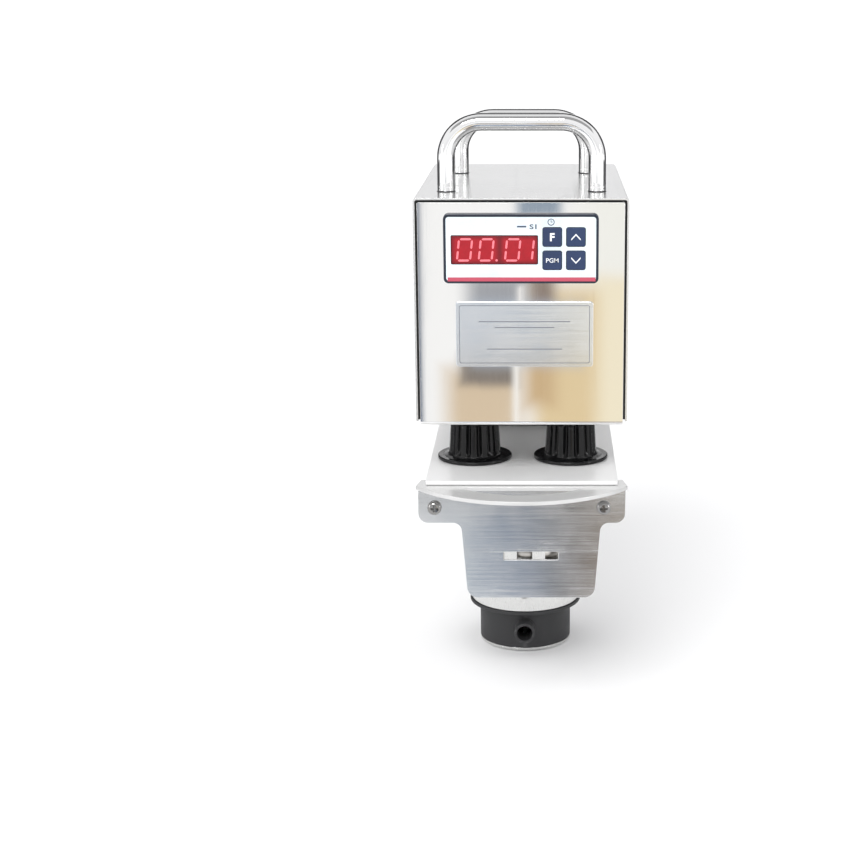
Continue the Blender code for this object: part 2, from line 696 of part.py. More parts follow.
def build_controller():
    """Bezel, face sheet, window, lit module, case and circuit board, with the four keys."""
    window = rectangle(WINDOW_X, WINDOW_Z, WINDOW_WIDTH, WINDOW_HEIGHT, WINDOW_CORNER)
    hole = KEY_WIDTH + 2 * GAP
    key_holes = [rectangle(x, z, hole, hole, KEY_HOLE_CORNER) for _, x, z in key_places()]
    outer = rectangle(0, BEZEL_Z, BEZEL_WIDTH, BEZEL_HEIGHT, BEZEL_CORNER)
    bezel = plate("controller_bezel", [outer, window, *key_holes], BEZEL_FRONT, BEZEL_BACK, NAVY, axis="Y")
    recess = rectangle(0, BEZEL_Z, BEZEL_WIDTH - 2 * BEZEL_RIM, BEZEL_HEIGHT - 2 * BEZEL_RIM, RECESS_CORNER)
    floor = BEZEL_FRONT + FACE_THICK + GAP - FACE_SINK
    cut(bezel, plate("bezel_recess", [recess], BEZEL_FRONT - PAST, floor, axis="Y"))
    inset = 2 * (BEZEL_RIM + GAP)
    sheet = rectangle(0, BEZEL_Z, BEZEL_WIDTH - inset, BEZEL_HEIGHT - inset, FACE_CORNER)
    sheet_back = floor - GAP
    sheet_front = sheet_back - FACE_THICK
    plate("controller_face", [sheet, window, *key_holes], sheet_front, sheet_back, PALE_FACE, axis="Y")
    pane = rectangle(WINDOW_X, WINDOW_Z, WINDOW_WIDTH - 2 * GAP, WINDOW_HEIGHT - 2 * GAP, PANE_CORNER)
    window_back = BEZEL_FRONT + WINDOW_THICK
    plate("display_window", [pane], BEZEL_FRONT, window_back, WINDOW_RED, axis="Y")
    module_front = window_back + GAP
    half_width = WINDOW_WIDTH / 2 - MODULE_INSET
    half_height = WINDOW_HEIGHT / 2 - MODULE_INSET
    box("display_module", (WINDOW_X - half_width, module_front, WINDOW_Z - half_height),
        (WINDOW_X + half_width, module_front + MODULE_DEPTH, WINDOW_Z + half_height), BLACK_MATT)
    board_y = module_front + MODULE_DEPTH + GAP
    build_controller_case(board_y)
    key_front = sheet_front - KEY_PROUD
    key_back = board_y - KEY_TRAVEL - GAP
    for name, x, z in key_places():
        plate(name, [rectangle(0, 0, KEY_WIDTH, KEY_WIDTH, KEY_CORNER)], 0, key_back - key_front, NAVY,
              at=(x, key_front, z), axis="Y")


def build_controller_case(board_y):
    """The circuit board behind the keys, and the case round it, open at the front."""
    wall = CASE_WALL + BOARD_WALL_ROOM
    box("controller_board", (wall - CASE_WIDTH / 2, board_y, wall + BEZEL_Z - CASE_HEIGHT / 2),
        (CASE_WIDTH / 2 - wall, board_y + BOARD_THICK, BEZEL_Z + CASE_HEIGHT / 2 - wall), BOARD_GREEN)
    case = box("controller_case", (-CASE_WIDTH / 2, FRONT, BEZEL_Z - CASE_HEIGHT / 2),
               (CASE_WIDTH / 2, FRONT + CASE_DEPTH, BEZEL_Z + CASE_HEIGHT / 2), BLACK_MATT)
    low = (CASE_WALL - CASE_WIDTH / 2, FRONT - PAST, CASE_WALL + BEZEL_Z - CASE_HEIGHT / 2)
    high = (CASE_WIDTH / 2 - CASE_WALL, FRONT + CASE_DEPTH - CASE_WALL, BEZEL_Z + CASE_HEIGHT / 2 - CASE_WALL)
    cut(case, box("case_hollow", low, high))


def build_supply():
    """Power board on its four legs, with transformer, relay and terminal block."""
    deck = BOARD_Z + BOARD_THICK
    half = BOARD_WIDTH / 2
    inset = BOARD_LEG_INSET
    board = box("power_board", (-half, BOARD_FRONT, BOARD_Z), (half, BOARD_BACK, deck), BOARD_GREEN)
    rows = (BOARD_FRONT + inset, BOARD_BACK - inset)
    corners = [(side * (half - inset), y, 0) for side in (-1, 1) for y in rows]
    low = FLOOR + GAP
    for index, at in enumerate(corners):
        join(board, cylinder(f"board_leg_{index + 1}", BOARD_LEG_RADIUS, low, BOARD_Z + LAP, at=at, sides=12))
    seat = deck + GAP
    build_transformer(seat)
    box("relay", (RELAY_LEFT, BOARD_Y - RELAY_DEPTH / 2, seat),
        (RELAY_LEFT + RELAY_WIDTH, BOARD_Y + RELAY_DEPTH / 2, seat + RELAY_HEIGHT), WHITE_PLASTIC)
    build_terminals(seat)


def build_transformer(seat):
    """The iron core, with the winding standing out at its front and back."""
    core = box("transformer", (TRANSFORMER_LEFT, BOARD_Y - TRANSFORMER_DEPTH / 2, seat),
               (TRANSFORMER_RIGHT, BOARD_Y + TRANSFORMER_DEPTH / 2, seat + TRANSFORMER_HEIGHT), STEEL)
    top = seat + TRANSFORMER_HEIGHT - WINDING_STEP
    low = (TRANSFORMER_LEFT + WINDING_INSET, BOARD_Y - WINDING_DEPTH / 2, seat + WINDING_STEP)
    high = (TRANSFORMER_RIGHT - WINDING_INSET, BOARD_Y + WINDING_DEPTH / 2, top)
    join(core, box("transformer_winding", low, high))


def build_terminals(seat):
    """The terminal block, with one mouth for each wire in its outer side."""
    right = TERMINALS_LEFT + TERMINALS_WIDTH
    block = box("terminal_block", (TERMINALS_LEFT, BOARD_Y - TERMINALS_DEPTH / 2, seat),
                (right, BOARD_Y + TERMINALS_DEPTH / 2, seat + TERMINALS_HEIGHT), BLACK_MATT)
    mouth_right = TERMINALS_LEFT + TERMINAL_MOUTH
    for index in range(TERMINAL_COUNT):
        y = BOARD_Y + TERMINAL_PITCH * (index - (TERMINAL_COUNT - 1) / 2)
        low = (TERMINALS_LEFT - PAST, y - TERMINAL_WIDTH / 2, seat + TERMINAL_FLOOR)
        high = (mouth_right, y + TERMINAL_WIDTH / 2, seat + TERMINALS_HEIGHT + PAST)
        cut(block, box(f"terminal_cutout_{index + 1}", low, high))


def build_rear_fittings():
    """Mains inlet, fuse holder and rocker switch, in the rear wall."""
    outside = BACK + GAP
    build_inlet(outside)
    build_fuse(outside)
    build_switch(outside)


def build_inlet(outside):
    """The mains inlet: a flange outside the wall, a body through it, and a socket with three pins."""
    x = -REAR_SPACING
    lip = rectangle(x, INLET_Z, INLET_WIDTH + 2 * FITTING_LIP, INLET_HEIGHT + 2 * FITTING_LIP, INLET_LIP_CORNER)
    inlet = plate("mains_inlet", [lip], outside, outside + INLET_LIP_THICK, BLACK_MATT, axis="Y")
    body = rectangle(x, INLET_Z, INLET_WIDTH, INLET_HEIGHT)
    join(inlet, plate("inlet_body", [body], BACK - INLET_DEPTH, outside + LAP, axis="Y"))
    left, right = x - SOCKET_WIDTH / 2, x + SOCKET_WIDTH / 2
    low, high = INLET_Z - SOCKET_HEIGHT / 2, INLET_Z + SOCKET_HEIGHT / 2
    mouth = rounded([
        (left, low, SOCKET_CORNER), (right, low, SOCKET_CORNER), (right, high - SOCKET_CHAMFER, 0),
        (right - SOCKET_CHAMFER, high, 0), (left + SOCKET_CHAMFER, high, 0), (left, high - SOCKET_CHAMFER, 0),
    ])
    cut(inlet, plate("inlet_mouth", [mouth], BACK - INLET_DEPTH + INLET_WALL, BACK + PAST, axis="Y"))
    for index, (along, up) in enumerate(PIN_PLACES):
        pin = box(f"inlet_pin_{index + 1}",
                  (along - PIN_WIDTH / 2, BACK - INLET_DEPTH + LAP, up - PIN_HEIGHT / 2),
                  (along + PIN_WIDTH / 2, BACK - PIN_SETBACK, up + PIN_HEIGHT / 2), at=(x, 0, INLET_Z))
        join(inlet, pin)


def build_fuse(outside):
    """The fuse holder: a barrel through the wall and a slotted cap outside it."""
    at = (-REAR_SPACING, 0, FUSE_Z)
    fuse = cylinder("fuse_holder", FUSE_RADIUS, BACK - FUSE_DEPTH, outside + LAP, BLACK_MATT, at, axis="Y")
    face = outside + FUSE_CAP_THICK
    join(fuse, cylinder("fuse_cap", FUSE_RADIUS + FITTING_LIP, outside, face, at=at, axis="Y"))
    low = (-FUSE_SLOT_LONG / 2, face - FUSE_SLOT_DEEP, -FUSE_SLOT_WIDTH / 2)
    cut(fuse, box("fuse_slot", low, (FUSE_SLOT_LONG / 2, face + PAST, FUSE_SLOT_WIDTH / 2), at=at))


def build_switch(outside):
    """The switch's frame with its well, and the rocker in it."""
    lip = rectangle(REAR_SPACING, INLET_Z, SWITCH_WIDTH + 2 * FITTING_LIP, SWITCH_HEIGHT + 2 * FITTING_LIP,
                    SWITCH_LIP_CORNER)
    frame = plate("switch_frame", [lip], outside, outside + SWITCH_LIP_THICK, BLACK_MATT, axis="Y")
    at = (REAR_SPACING, 0, INLET_Z)
    half_width, half_height = SWITCH_WIDTH / 2, SWITCH_HEIGHT / 2
    join(frame, box("switch_body", (-half_width, BACK - SWITCH_DEPTH, -half_height),
                    (half_width, outside + LAP, half_height), at=at))
    half_width -= SWITCH_WALL
    half_height -= SWITCH_WALL
    cut(frame, box("switch_hollow", (-half_width, BACK - SWITCH_WELL, -half_height),
                   (half_width, BACK + PAST, half_height), at=at))
    build_rocker(half_width - GAP, half_height - ROCKER_ROOM)


def build_rocker(width, half):
    """The rocker: two faces at a shallow angle about the pivot line, which is the object's origin."""
    profile = [
        (-ROCKER_ROOT, -half), (ROCKER_CREST, -half), (ROCKER_DIP, 0),
        (ROCKER_CREST, half), (-ROCKER_ROOT, half), (-2 * ROCKER_ROOT, 0),
    ]
    at = (REAR_SPACING, BACK, INLET_Z)
    rocker = plate("switch_rocker", [profile], -width, width, BLACK_GLOSS, at, axis="X")
    rocker.rotation_euler = (math.radians(-ROCKER_TILT), 0, 0)


def build_motor():
    """The motor on its mount."""
    at = (0, PUMP_Y, 0)
    bell = MOTOR_RADIUS - BELL_STEP
    top = MOTOR_Z + MOTOR_HEIGHT
    bore = SHAFT_RADIUS + GAP
    turned("motor_case", [
        (bore, top), (bell, top), (bell, top - BELL_LENGTH), (MOTOR_RADIUS, top - BELL_LENGTH),
        (MOTOR_RADIUS, MOTOR_Z + BELL_LENGTH), (bell, MOTOR_Z + BELL_LENGTH), (bell, MOTOR_Z), (bore, MOTOR_Z),
    ], STEEL, at, ring=True)
    reach = MOTOR_RADIUS + MOUNT_EAR
    outline = rectangle(0, 0, 2 * reach, 2 * MOTOR_RADIUS, MOUNT_CORNER)
    hole = circle(0, 0, SHAFT_RADIUS + MOUNT_HOLE_ROOM)
    low = FLOOR + GAP
    mount = plate("motor_mount", [outline, hole], MOUNT_Z, MOUNT_Z + MOUNT_THICK, SATIN_STEEL, at)
    for index, (x, y) in enumerate(((-1, -1), (1, -1), (-1, 1), (1, 1))):
        foot = (x * (reach - MOUNT_EAR), PUMP_Y + y * (MOTOR_RADIUS - MOUNT_EAR), 0)
        join(mount, cylinder(f"mount_leg_{index + 1}", MOUNT_LEG_RADIUS, low, MOUNT_Z + LAP, at=foot, sides=12))


def build_drive():
    """The shaft, with the fan above the motor and the coupling in the neck."""
    at = (0, PUMP_Y, 0)
    shaft_top = FAN_Z + FAN_HEIGHT + SHAFT_TOP_ROOM
    shaft_end = HOUSING_BOTTOM + IMPELLER_LIFT + LAP
    cylinder("drive_shaft", SHAFT_RADIUS, shaft_end, shaft_top, STEEL, at, sides=16)
    sleeve = SHAFT_RADIUS + GAP
    top = BOTTOM - COUPLING_TOP_ROOM
    low = SHELF_TOP + COUPLING_LOW_ROOM
    turned("shaft_coupling", [
        (sleeve, top), (COUPLING_RADIUS, top), (COUPLING_RADIUS, low), (sleeve, low),
    ], STEEL, at, ring=True)
    fan_top = FAN_Z + FAN_HEIGHT
    hub = turned("cooling_fan", [
        (sleeve, fan_top), (FAN_HUB_RADIUS, fan_top), (FAN_HUB_RADIUS, FAN_Z), (sleeve, FAN_Z),
    ], BLACK_MATT, at, ring=True)
    for index in range(FAN_BLADES):
        join(hub, fan_blade(f"fan_blade_{index + 1}", 360 / FAN_BLADES * index))


def fan_blade(name, degrees):
    """A flat blade from the fan's hub, pitched to the air."""
    half = (FAN_HEIGHT + LAP) / 2
    root = FAN_HUB_RADIUS - 1.5 * LAP
    blade = box(name, (root, -BLADE_THICK / 2, -half), (FAN_RADIUS, BLADE_THICK / 2, half))
    pitch = Matrix.Rotation(math.radians(FAN_PITCH), 4, "X")
    turn = Matrix.Rotation(math.radians(degrees), 4, "Z")
    lift = Matrix.Translation(Vector((0, PUMP_Y, FAN_Z + FAN_HEIGHT / 2)) * MM)
    blade.data.transform(lift @ turn @ pitch)
    return blade


def build_neck():
    """The hollow column between the shelf and the head."""
    outer = rectangle(0, PUMP_Y, NECK_WIDTH, NECK_DEPTH, NECK_CORNER)
    inner_corner = NECK_CORNER - NECK_WALL
    inner = rectangle(0, PUMP_Y, NECK_WIDTH - 2 * NECK_WALL, NECK_DEPTH - 2 * NECK_WALL, inner_corner)
    return smooth(plate("neck", [outer, inner], SHELF_TOP + GAP, BOTTOM - GAP, BLACK_MATT))


def build_shelf():
    """The plate that carries the head, with holes for the clamp spindles and the pump."""
    nose = FRONT - SHELF_NOSE
    half = SHELF_WIDTH / 2
    outline = rounded([
        (-half, nose, SHELF_FRONT_CORNER), (half, nose, SHELF_FRONT_CORNER),
        (half, BACK, SHELF_BACK_CORNER), (-half, BACK, SHELF_BACK_CORNER),
    ])
    holes = [circle(side * KNOB_X, KNOB_Y, SPINDLE_RADIUS + GAP, 16) for side in (-1, 1)]
    holes.append(circle(0, PUMP_Y, PUMP_HOLE_RADIUS))
    return plate("shelf", [outline, *holes], SHELF_UNDER, SHELF_TOP, SATIN_STEEL)


def build_rim_pad():
    """A pad under the shelf that follows the pot's rim. Its underside is the rim seat."""
    reach = math.degrees(math.asin(PAD_WIDTH / 2 / POT_RIM_RADIUS))
    outer = arc((0, POT_AXIS), POT_AXIS + PAD_OUT, -90 - reach, -90 + reach, PAD_STEPS)
    inner = arc((0, POT_AXIS), POT_AXIS - PAD_IN, -90 + reach, -90 - reach, PAD_STEPS)
    return plate("rim_pad", [outer + inner], 0, PAD_THICK, SILICONE)


def build_knob(name, side):
    """A fluted knob with a dished skirt. It turns about its own origin."""
    at = (side * KNOB_X, KNOB_Y, SHELF_TOP + GAP)
    core_top = KNOB_HEIGHT - KNOB_CAP
    thick = KNOB_SKIRT_THICK
    edge = KNOB_SKIRT_RADIUS
    skirt = turned(name, [
        (0, core_top), (KNOB_GRIP_RADIUS - KNOB_CAP, core_top), (KNOB_GRIP_RADIUS - LAP, SKIRT_DISH),
        (edge - SKIRT_ROLL, thick - SKIRT_SAG), (edge - SKIRT_EDGE, thick), (edge, thick - SKIRT_EDGE),
        (edge, 0), (0, 0),
    ], BLACK_GLOSS, at, sides=32)
    join(skirt, knob_grip(f"{name}_grip", at))
    return cut(skirt, cylinder(f"{name}_bore", SPINDLE_RADIUS + GAP, -PAST, core_top + GAP, at=at, sides=16))


def knob_grip(name, at):
    """The grip: a scalloped outline that narrows upwards."""
    count = KNOB_FLUTES * FLUTE_STEPS
    outline = []
    for index in range(count):
        phase = (index % FLUTE_STEPS) / FLUTE_STEPS
        radius = KNOB_GRIP_RADIUS - FLUTE_DEPTH * math.sin(math.pi * phase) ** FLUTE_FULLNESS
        angle = 2 * math.pi * index / count
        outline.append((radius * math.cos(angle), radius * math.sin(angle)))
    grip = plate(name, [outline], KNOB_GRIP_FOOT, KNOB_HEIGHT, at=at)
    middle = KNOB_HEIGHT / 2 * MM
    narrow = KNOB_GRIP_TOP_RADIUS / KNOB_GRIP_RADIUS
    for vertex in grip.data.vertices:
        if vertex.co.z > middle:
            vertex.co.x *= narrow
            vertex.co.y *= narrow
    return grip


def cam_offset():
    """How far the cam's middle lies from its spindle, so that its tyre presses on the pot's wall."""
    to_pot_axis = math.hypot(KNOB_X, POT_AXIS - KNOB_Y)
    return POT_WALL_INNER_RADIUS - to_pot_axis + TYRE_SQUEEZE - CAM_RADIUS - GAP - TYRE_THICK


def build_cam(index, side):
    """An eccentric cam on its spindle, with a silicone tyre round it."""
    at = (side * KNOB_X, KNOB_Y, 0)
    middle = (at[0], at[1] - cam_offset(), 0)
    bottom = CAM_TOP - CAM_THICK
    spindle_top = SHELF_TOP + KNOB_HEIGHT - KNOB_CAP
    collar = SPINDLE_RADIUS + CAM_COLLAR
    cam = cylinder(f"clamp_cam_{index}", SPINDLE_RADIUS, bottom + LAP, spindle_top, STEEL, at, sides=16)
    join(
        cam,
        cylinder(f"cam_collar_{index}", collar, CAM_TOP - LAP, SHELF_UNDER - GAP, at=at, sides=16),
        cylinder(f"cam_disc_{index}", CAM_RADIUS, bottom, CAM_TOP, at=middle),
    )
    inner = CAM_RADIUS + GAP
    outer = inner + TYRE_THICK
    tyre = turned(f"clamp_tyre_{index}", [
        (inner, CAM_TOP - TYRE_INSET), (outer, CAM_TOP - TYRE_INSET), (outer, bottom + TYRE_INSET),
        (inner, bottom + TYRE_INSET),
    ], SILICONE, at, sides=32, ring=True)
    tyre.location = Vector(middle) * MM
    return tyre


def flange_front():
    """Centre height and radius of the arc through the flange's corners and its foremost point."""
    radius = (FLANGE_HALF ** 2 + FLANGE_REACH ** 2) / (2 * FLANGE_REACH)
    return HOOK_FRONT - FLANGE_REACH + radius, radius


def build_front_flange():
    """The D-shaped plate in front of the shelf, with its crescent hole."""
    centre, radius = flange_front()
    reach = math.degrees(math.asin(FLANGE_HALF / radius))
    outer = arc((0, centre), radius, -90 - reach, -90 + reach, FLANGE_STEPS)
    back = HOOK_FRONT + HOOK_THICK + FLANGE_LAP
    half = FLANGE_HALF - FLANGE_NARROWS
    outline = outer + [(half, back), (-half, back)]
    edge = HOOK_FRONT - CRESCENT_BACK
    depth = FLANGE_REACH - CRESCENT_BAND - CRESCENT_BACK
    inner_radius = (CRESCENT_HALF ** 2 + depth ** 2) / (2 * depth)
    sweep = math.degrees(math.asin(CRESCENT_HALF / inner_radius))
    crescent = arc((0, edge - depth + inner_radius), inner_radius, -90 - sweep, -90 + sweep, CRESCENT_STEPS)
    top = SHELF_UNDER - GAP
    return plate("front_flange", [outline, crescent], top - FLANGE_THICK, top, POLISHED_STEEL)


def build_hook_plate():
    """The plate under the flange: two wings for the screws and a tongue that hooks behind the pot's handle."""
    wing = HOOK_TOP - WING_DROP
    tip = HOOK_TOP - TONGUE_DROP
    side = FLANGE_HALF - WING_INSET
    outline = rounded([
        (-side, HOOK_TOP, 0), (-side, wing, WING_CORNER), (TONGUE_LEFT, wing, TONGUE_FILLET),
        (TONGUE_LEFT + TONGUE_TAPER, tip, TONGUE_CORNER), (TONGUE_RIGHT - TONGUE_TAPER, tip, TONGUE_CORNER),
        (TONGUE_RIGHT, wing, TONGUE_FILLET), (side, wing, WING_CORNER), (side, HOOK_TOP, 0),
    ])
    slot_x = (TONGUE_LEFT + TONGUE_RIGHT) / 2
    slot = rectangle(slot_x, HOOK_TOP - SLOT_DROP - SLOT_HEIGHT / 2, SLOT_WIDTH, SLOT_HEIGHT, SLOT_CORNER)
    holes = [circle(x, HOOK_TOP - SCREW_DROP, SCREW_RADIUS + GAP, 12) for x in (SCREW_LEFT, SCREW_RIGHT)]
    return plate("hook_plate", [outline, slot, *holes], HOOK_FRONT, HOOK_FRONT + HOOK_THICK, STEEL, axis="Y")


def build_bracket_fixings():
    """Behind each wing a folded tab with a weld nut, and a cross-head screw through the wing into it."""
    back = HOOK_FRONT + HOOK_THICK + GAP
    height = HOOK_TOP - SCREW_DROP
    for index, x in enumerate((SCREW_LEFT, SCREW_RIGHT)):
        profile = rounded([
            (0, 0, TAB_FOLD), (0, -TAB_DROP, 0), (TAB_THICK, -TAB_DROP, 0),
            (TAB_THICK, -TAB_THICK, TAB_FOLD - TAB_THICK), (TAB_REACH, -TAB_THICK, 0), (TAB_REACH, 0, 0),
        ])
        half = TAB_WIDTH / 2
        tab = plate(f"bracket_tab_{index + 1}", [profile], -half, half, STEEL, (x, back, HOOK_TOP), axis="X")
        low = TAB_THICK / 2
        top = low + WELD_NUT_THICK
        at = (x, back, height)
        join(tab, cylinder(f"weld_nut_{index + 1}", WELD_NUT_RADIUS, low, top, at=at, axis="Y", sides=6))
        bore = SCREW_RADIUS + GAP
        cut(tab, cylinder(f"tab_bore_{index + 1}", bore, -PAST, top + PAST, at=at, axis="Y", sides=12))
        build_pan_screw(f"bracket_screw_{index + 1}", (x, HOOK_FRONT - GAP, height))


def build_pan_screw(name, at):
    """A pan-head screw that points back, with a cross recess in its domed head."""
    head = SCREW_HEAD_RADIUS
    dome = SCREW_HEAD_HEIGHT
    profile = [
        (0, dome), (head * 0.55, dome * 0.91), (head * 0.88, dome * 0.59), (head, dome * 0.18), (head, 0),
        (SCREW_RADIUS, 0), (SCREW_RADIUS, -SCREW_LENGTH), (0, -SCREW_LENGTH),
    ]
    screw = turned(name, profile, CHROME, sides=16)
    screw.rotation_euler = (math.pi / 2, 0, 0)
    screw.location = Vector(at) * MM
    for wide, high in ((RECESS_LONG, RECESS_NARROW), (RECESS_NARROW, RECESS_LONG)):
        bar = box(f"{name}_recess_{wide}", (-wide, -PAST, -high), (wide, -RECESS_FLOOR, high), at=at)
        cut(screw, bar)
    return screw


def build_base_flange():
    """The disc under the shelf that closes its pump hole and carries the immersed pieces."""
    bore = SHAFT_RADIUS + SHAFT_HOLE_ROOM
    profile = [
        (bore, BASE_TOP), (BASE_RADIUS, BASE_TOP), (BASE_RADIUS, BASE_TOP - BASE_THICK + BASE_EDGE),
        (BASE_RADIUS - BASE_EDGE, BASE_TOP - BASE_THICK), (bore, BASE_TOP - BASE_THICK),
    ]
    return turned("base_flange", profile, FOOD_STEEL, (0, PUMP_Y, 0), sides=32, ring=True)


def build_pump():
    """Pump tube, housing with its nozzle, inlet grille and impeller."""
    at = (0, PUMP_Y, 0)
    bore = PUMP_TUBE_RADIUS - PUMP_TUBE_WALL
    turned("pump_tube", [
        (bore, TUBE_TOP), (PUMP_TUBE_RADIUS, TUBE_TOP), (PUMP_TUBE_RADIUS, TUBE_TOP - TUBE_LENGTH),
        (bore, TUBE_TOP - TUBE_LENGTH),
    ], FOOD_STEEL, at, ring=True)
    hollow = HOUSING_RADIUS - HOUSING_WALL
    rim = GUARD_RADIUS + HOUSING_RIM
    hole = SHAFT_RADIUS + SHAFT_HOLE_ROOM
    shoulder = HOUSING_TOP - HOUSING_FLANGE
    roof = HOUSING_TOP - HOUSING_WALL
    housing = turned("pump_housing", [
        (hole, HOUSING_TOP), (rim, HOUSING_TOP), (rim, shoulder), (HOUSING_RADIUS, shoulder),
        (HOUSING_RADIUS, HOUSING_BOTTOM), (hollow, HOUSING_BOTTOM), (hollow, roof), (hole, roof),
    ], BLACK_MATT, at, sides=32, ring=True)
    middle = HOUSING_BOTTOM + HOUSING_HEIGHT / 2
    nozzle_at = (0, PUMP_Y, middle)
    mouth = -HOUSING_RADIUS - NOZZLE_LENGTH
    bore = NOZZLE_RADIUS - NOZZLE_WALL
    join(housing, cylinder("nozzle", NOZZLE_RADIUS, mouth, -hollow - LAP, at=nozzle_at, axis="Y"))
    cut(housing, cylinder("nozzle_bore", bore, mouth - PAST, PAST - hollow, at=nozzle_at, axis="Y"))
    build_grille(hollow)
    build_impeller(at)


def build_grille(hollow):
    """The slotted disc that closes the housing's mouth."""
    top = HOUSING_BOTTOM - GAP
    slots = []
    for index in range(GRILLE_BARS):
        x = GRILLE_PITCH * (index - (GRILLE_BARS - 1) / 2)
        length = 2 * math.sqrt(hollow ** 2 - x ** 2) * GRILLE_SLOT_SHARE
        slots.append(rectangle(x, 0, GRILLE_SLOT, length, GRILLE_SLOT_END))
    disc = circle(0, 0, HOUSING_RADIUS, 32)
    return plate("inlet_grille", [disc, *slots], top - GRILLE_THICK, top, FOOD_STEEL, (0, PUMP_Y, 0))


def build_impeller(at):
    """A hub, a back disc and straight vanes."""
    low = HOUSING_BOTTOM + IMPELLER_LIFT
    top = low + IMPELLER_HEIGHT
    hub = IMPELLER_HUB_RADIUS
    disc_top = top - IMPELLER_DISC_DROP
    disc_low = disc_top - IMPELLER_DISC
    sleeve = SHAFT_RADIUS + GAP
    impeller = turned("impeller", [
        (sleeve, top), (hub, top), (hub, disc_top), (IMPELLER_RADIUS, disc_top), (IMPELLER_RADIUS, disc_low),
        (hub, disc_low), (hub, low), (sleeve, low),
    ], BLACK_MATT, at, ring=True)
    root = hub - 1.5 * LAP
    half = VANE_THICK / 2
    tip = IMPELLER_RADIUS - LAP / 2
    for index in range(VANES):
        vane = box(f"vane_{index + 1}", (root, -half, low + LAP), (tip, half, disc_low + LAP / 2))
        vane.rotation_euler = (0, 0, math.radians(360 / VANES * index + VANE_TURN))
        vane.location = Vector(at) * MM
        join(impeller, vane)
    return impeller


def helix_point(radius, angle, height):
    """A point at a radius and an angle about the pump's axis."""
    return (radius * math.cos(angle), radius * math.sin(angle), height)


def heater_turns(start, steps=16):
    """The heater's turns, from the angle where its lead ends."""
    count = steps * HEATER_TURNS
    sweep = 2 * math.pi * HEATER_TURNS
    drop = HEATER_PITCH * HEATER_TURNS
    shares = [step / count for step in range(1, count + 1)]
    return [helix_point(HEATER_RADIUS, start + sweep * s, -HEATER_TOP - drop * s) for s in shares]


def heater_route():
    """The heater's line about the pump's axis: down, round the turns, in to the pump tube and up again."""
    bend = HEATER_BEND
    corner = HEATER_TOP - bend
    quarter = [math.pi / 2 * step / 4 for step in range(5)]
    points = [helix_point(HEATER_RADIUS, 0, TUBE_TOP)]
    for turn in quarter:
        angle = bend * (1 - math.cos(turn)) / HEATER_RADIUS
        points.append(helix_point(HEATER_RADIUS, angle, -corner - bend * math.sin(turn)))
    start = bend / HEATER_RADIUS
    points += heater_turns(start)
    low = -HEATER_TOP - HEATER_PITCH * HEATER_TURNS
    end = start + 2 * math.pi * HEATER_TURNS
    inward = math.radians(HEATER_INWARD)
    for step in range(1, 5):
        share = step / 4
        radius = HEATER_RADIUS + (INNER_RADIUS - HEATER_RADIUS) * share
        points.append(helix_point(radius, end + inward * share, low))
    end += inward
    for turn in quarter[1:]:
        angle = end + bend * math.sin(turn) / INNER_RADIUS
        points.append(helix_point(INNER_RADIUS, angle, low + bend * (1 - math.cos(turn))))
    points.append(helix_point(INNER_RADIUS, end + bend / INNER_RADIUS, TUBE_TOP))
    return points


def build_heater():
    """The tubular heater and the slotted sleeve that guards it."""
    at = (0, PUMP_Y, 0)
    tube("heater_coil", heater_route(), HEATER_WIRE, FOOD_STEEL, at)
    top = GUARD_BOTTOM + GUARD_HEIGHT
    inner = GUARD_RADIUS - GUARD_WALL
    guard = turned("heater_guard", [
        (inner, top), (GUARD_RADIUS, top), (GUARD_RADIUS, GUARD_BOTTOM), (inner, GUARD_BOTTOM),
    ], FOOD_STEEL, at, sides=36, ring=True)
    length = GUARD_HEIGHT - 2 * GUARD_SLOT_ROOM
    slot = rectangle(0, (top + GUARD_BOTTOM) / 2, GUARD_SLOT, length, GUARD_SLOT_END)
    reach = GUARD_RADIUS + PAST
    for index in range(3):
        for angle in (0, 90):
            cutter = plate(f"guard_cutout_{index + 1}_{angle}", [slot], -reach, reach, at=at, axis="Y")
            cutter.rotation_euler = (0, 0, math.radians(angle + 30 * index))
            cut(guard, cutter)
    return guard


def build_probe():
    """The temperature probe, with a rounded tip."""
    x, y, _ = helix_point(INNER_RADIUS, math.radians(PROBE_ANGLE), 0)
    low = TUBE_TOP - PROBE_LENGTH
    return turned("probe", [
        (0, TUBE_TOP), (PROBE_RADIUS, TUBE_TOP), (PROBE_RADIUS, low + PROBE_TIP),
        (PROBE_RADIUS * 0.7, low + PROBE_TIP * 0.3), (0, low),
    ], FOOD_STEEL, (x, PUMP_Y + y, 0), sides=16)


def build_float():
    """The level float on its stem, hanging on the stem's stop."""
    at = (-FLOAT_OFFSET, PUMP_Y, 0)
    low = TUBE_TOP - FLOAT_STEM_LENGTH
    reach = FLOAT_STEM_RADIUS + FLOAT_STOP_REACH
    turned("float_stem", [
        (0, TUBE_TOP), (FLOAT_STEM_RADIUS, TUBE_TOP), (FLOAT_STEM_RADIUS, low + FLOAT_STOP),
        (reach, low + FLOAT_STOP), (reach, low), (0, low),
    ], FOOD_STEEL, at, sides=16)
    foot = low + FLOAT_STOP + GAP
    bore = FLOAT_STEM_RADIUS + GAP
    edge = FLOAT_EDGE
    turned("level_float", [
        (bore, FLOAT_HEIGHT), (FLOAT_RADIUS - edge, FLOAT_HEIGHT), (FLOAT_RADIUS, FLOAT_HEIGHT - edge),
        (FLOAT_RADIUS, edge), (FLOAT_RADIUS - edge, 0), (bore, 0),
    ], WHITE_PLASTIC, (at[0], at[1], foot), ring=True)


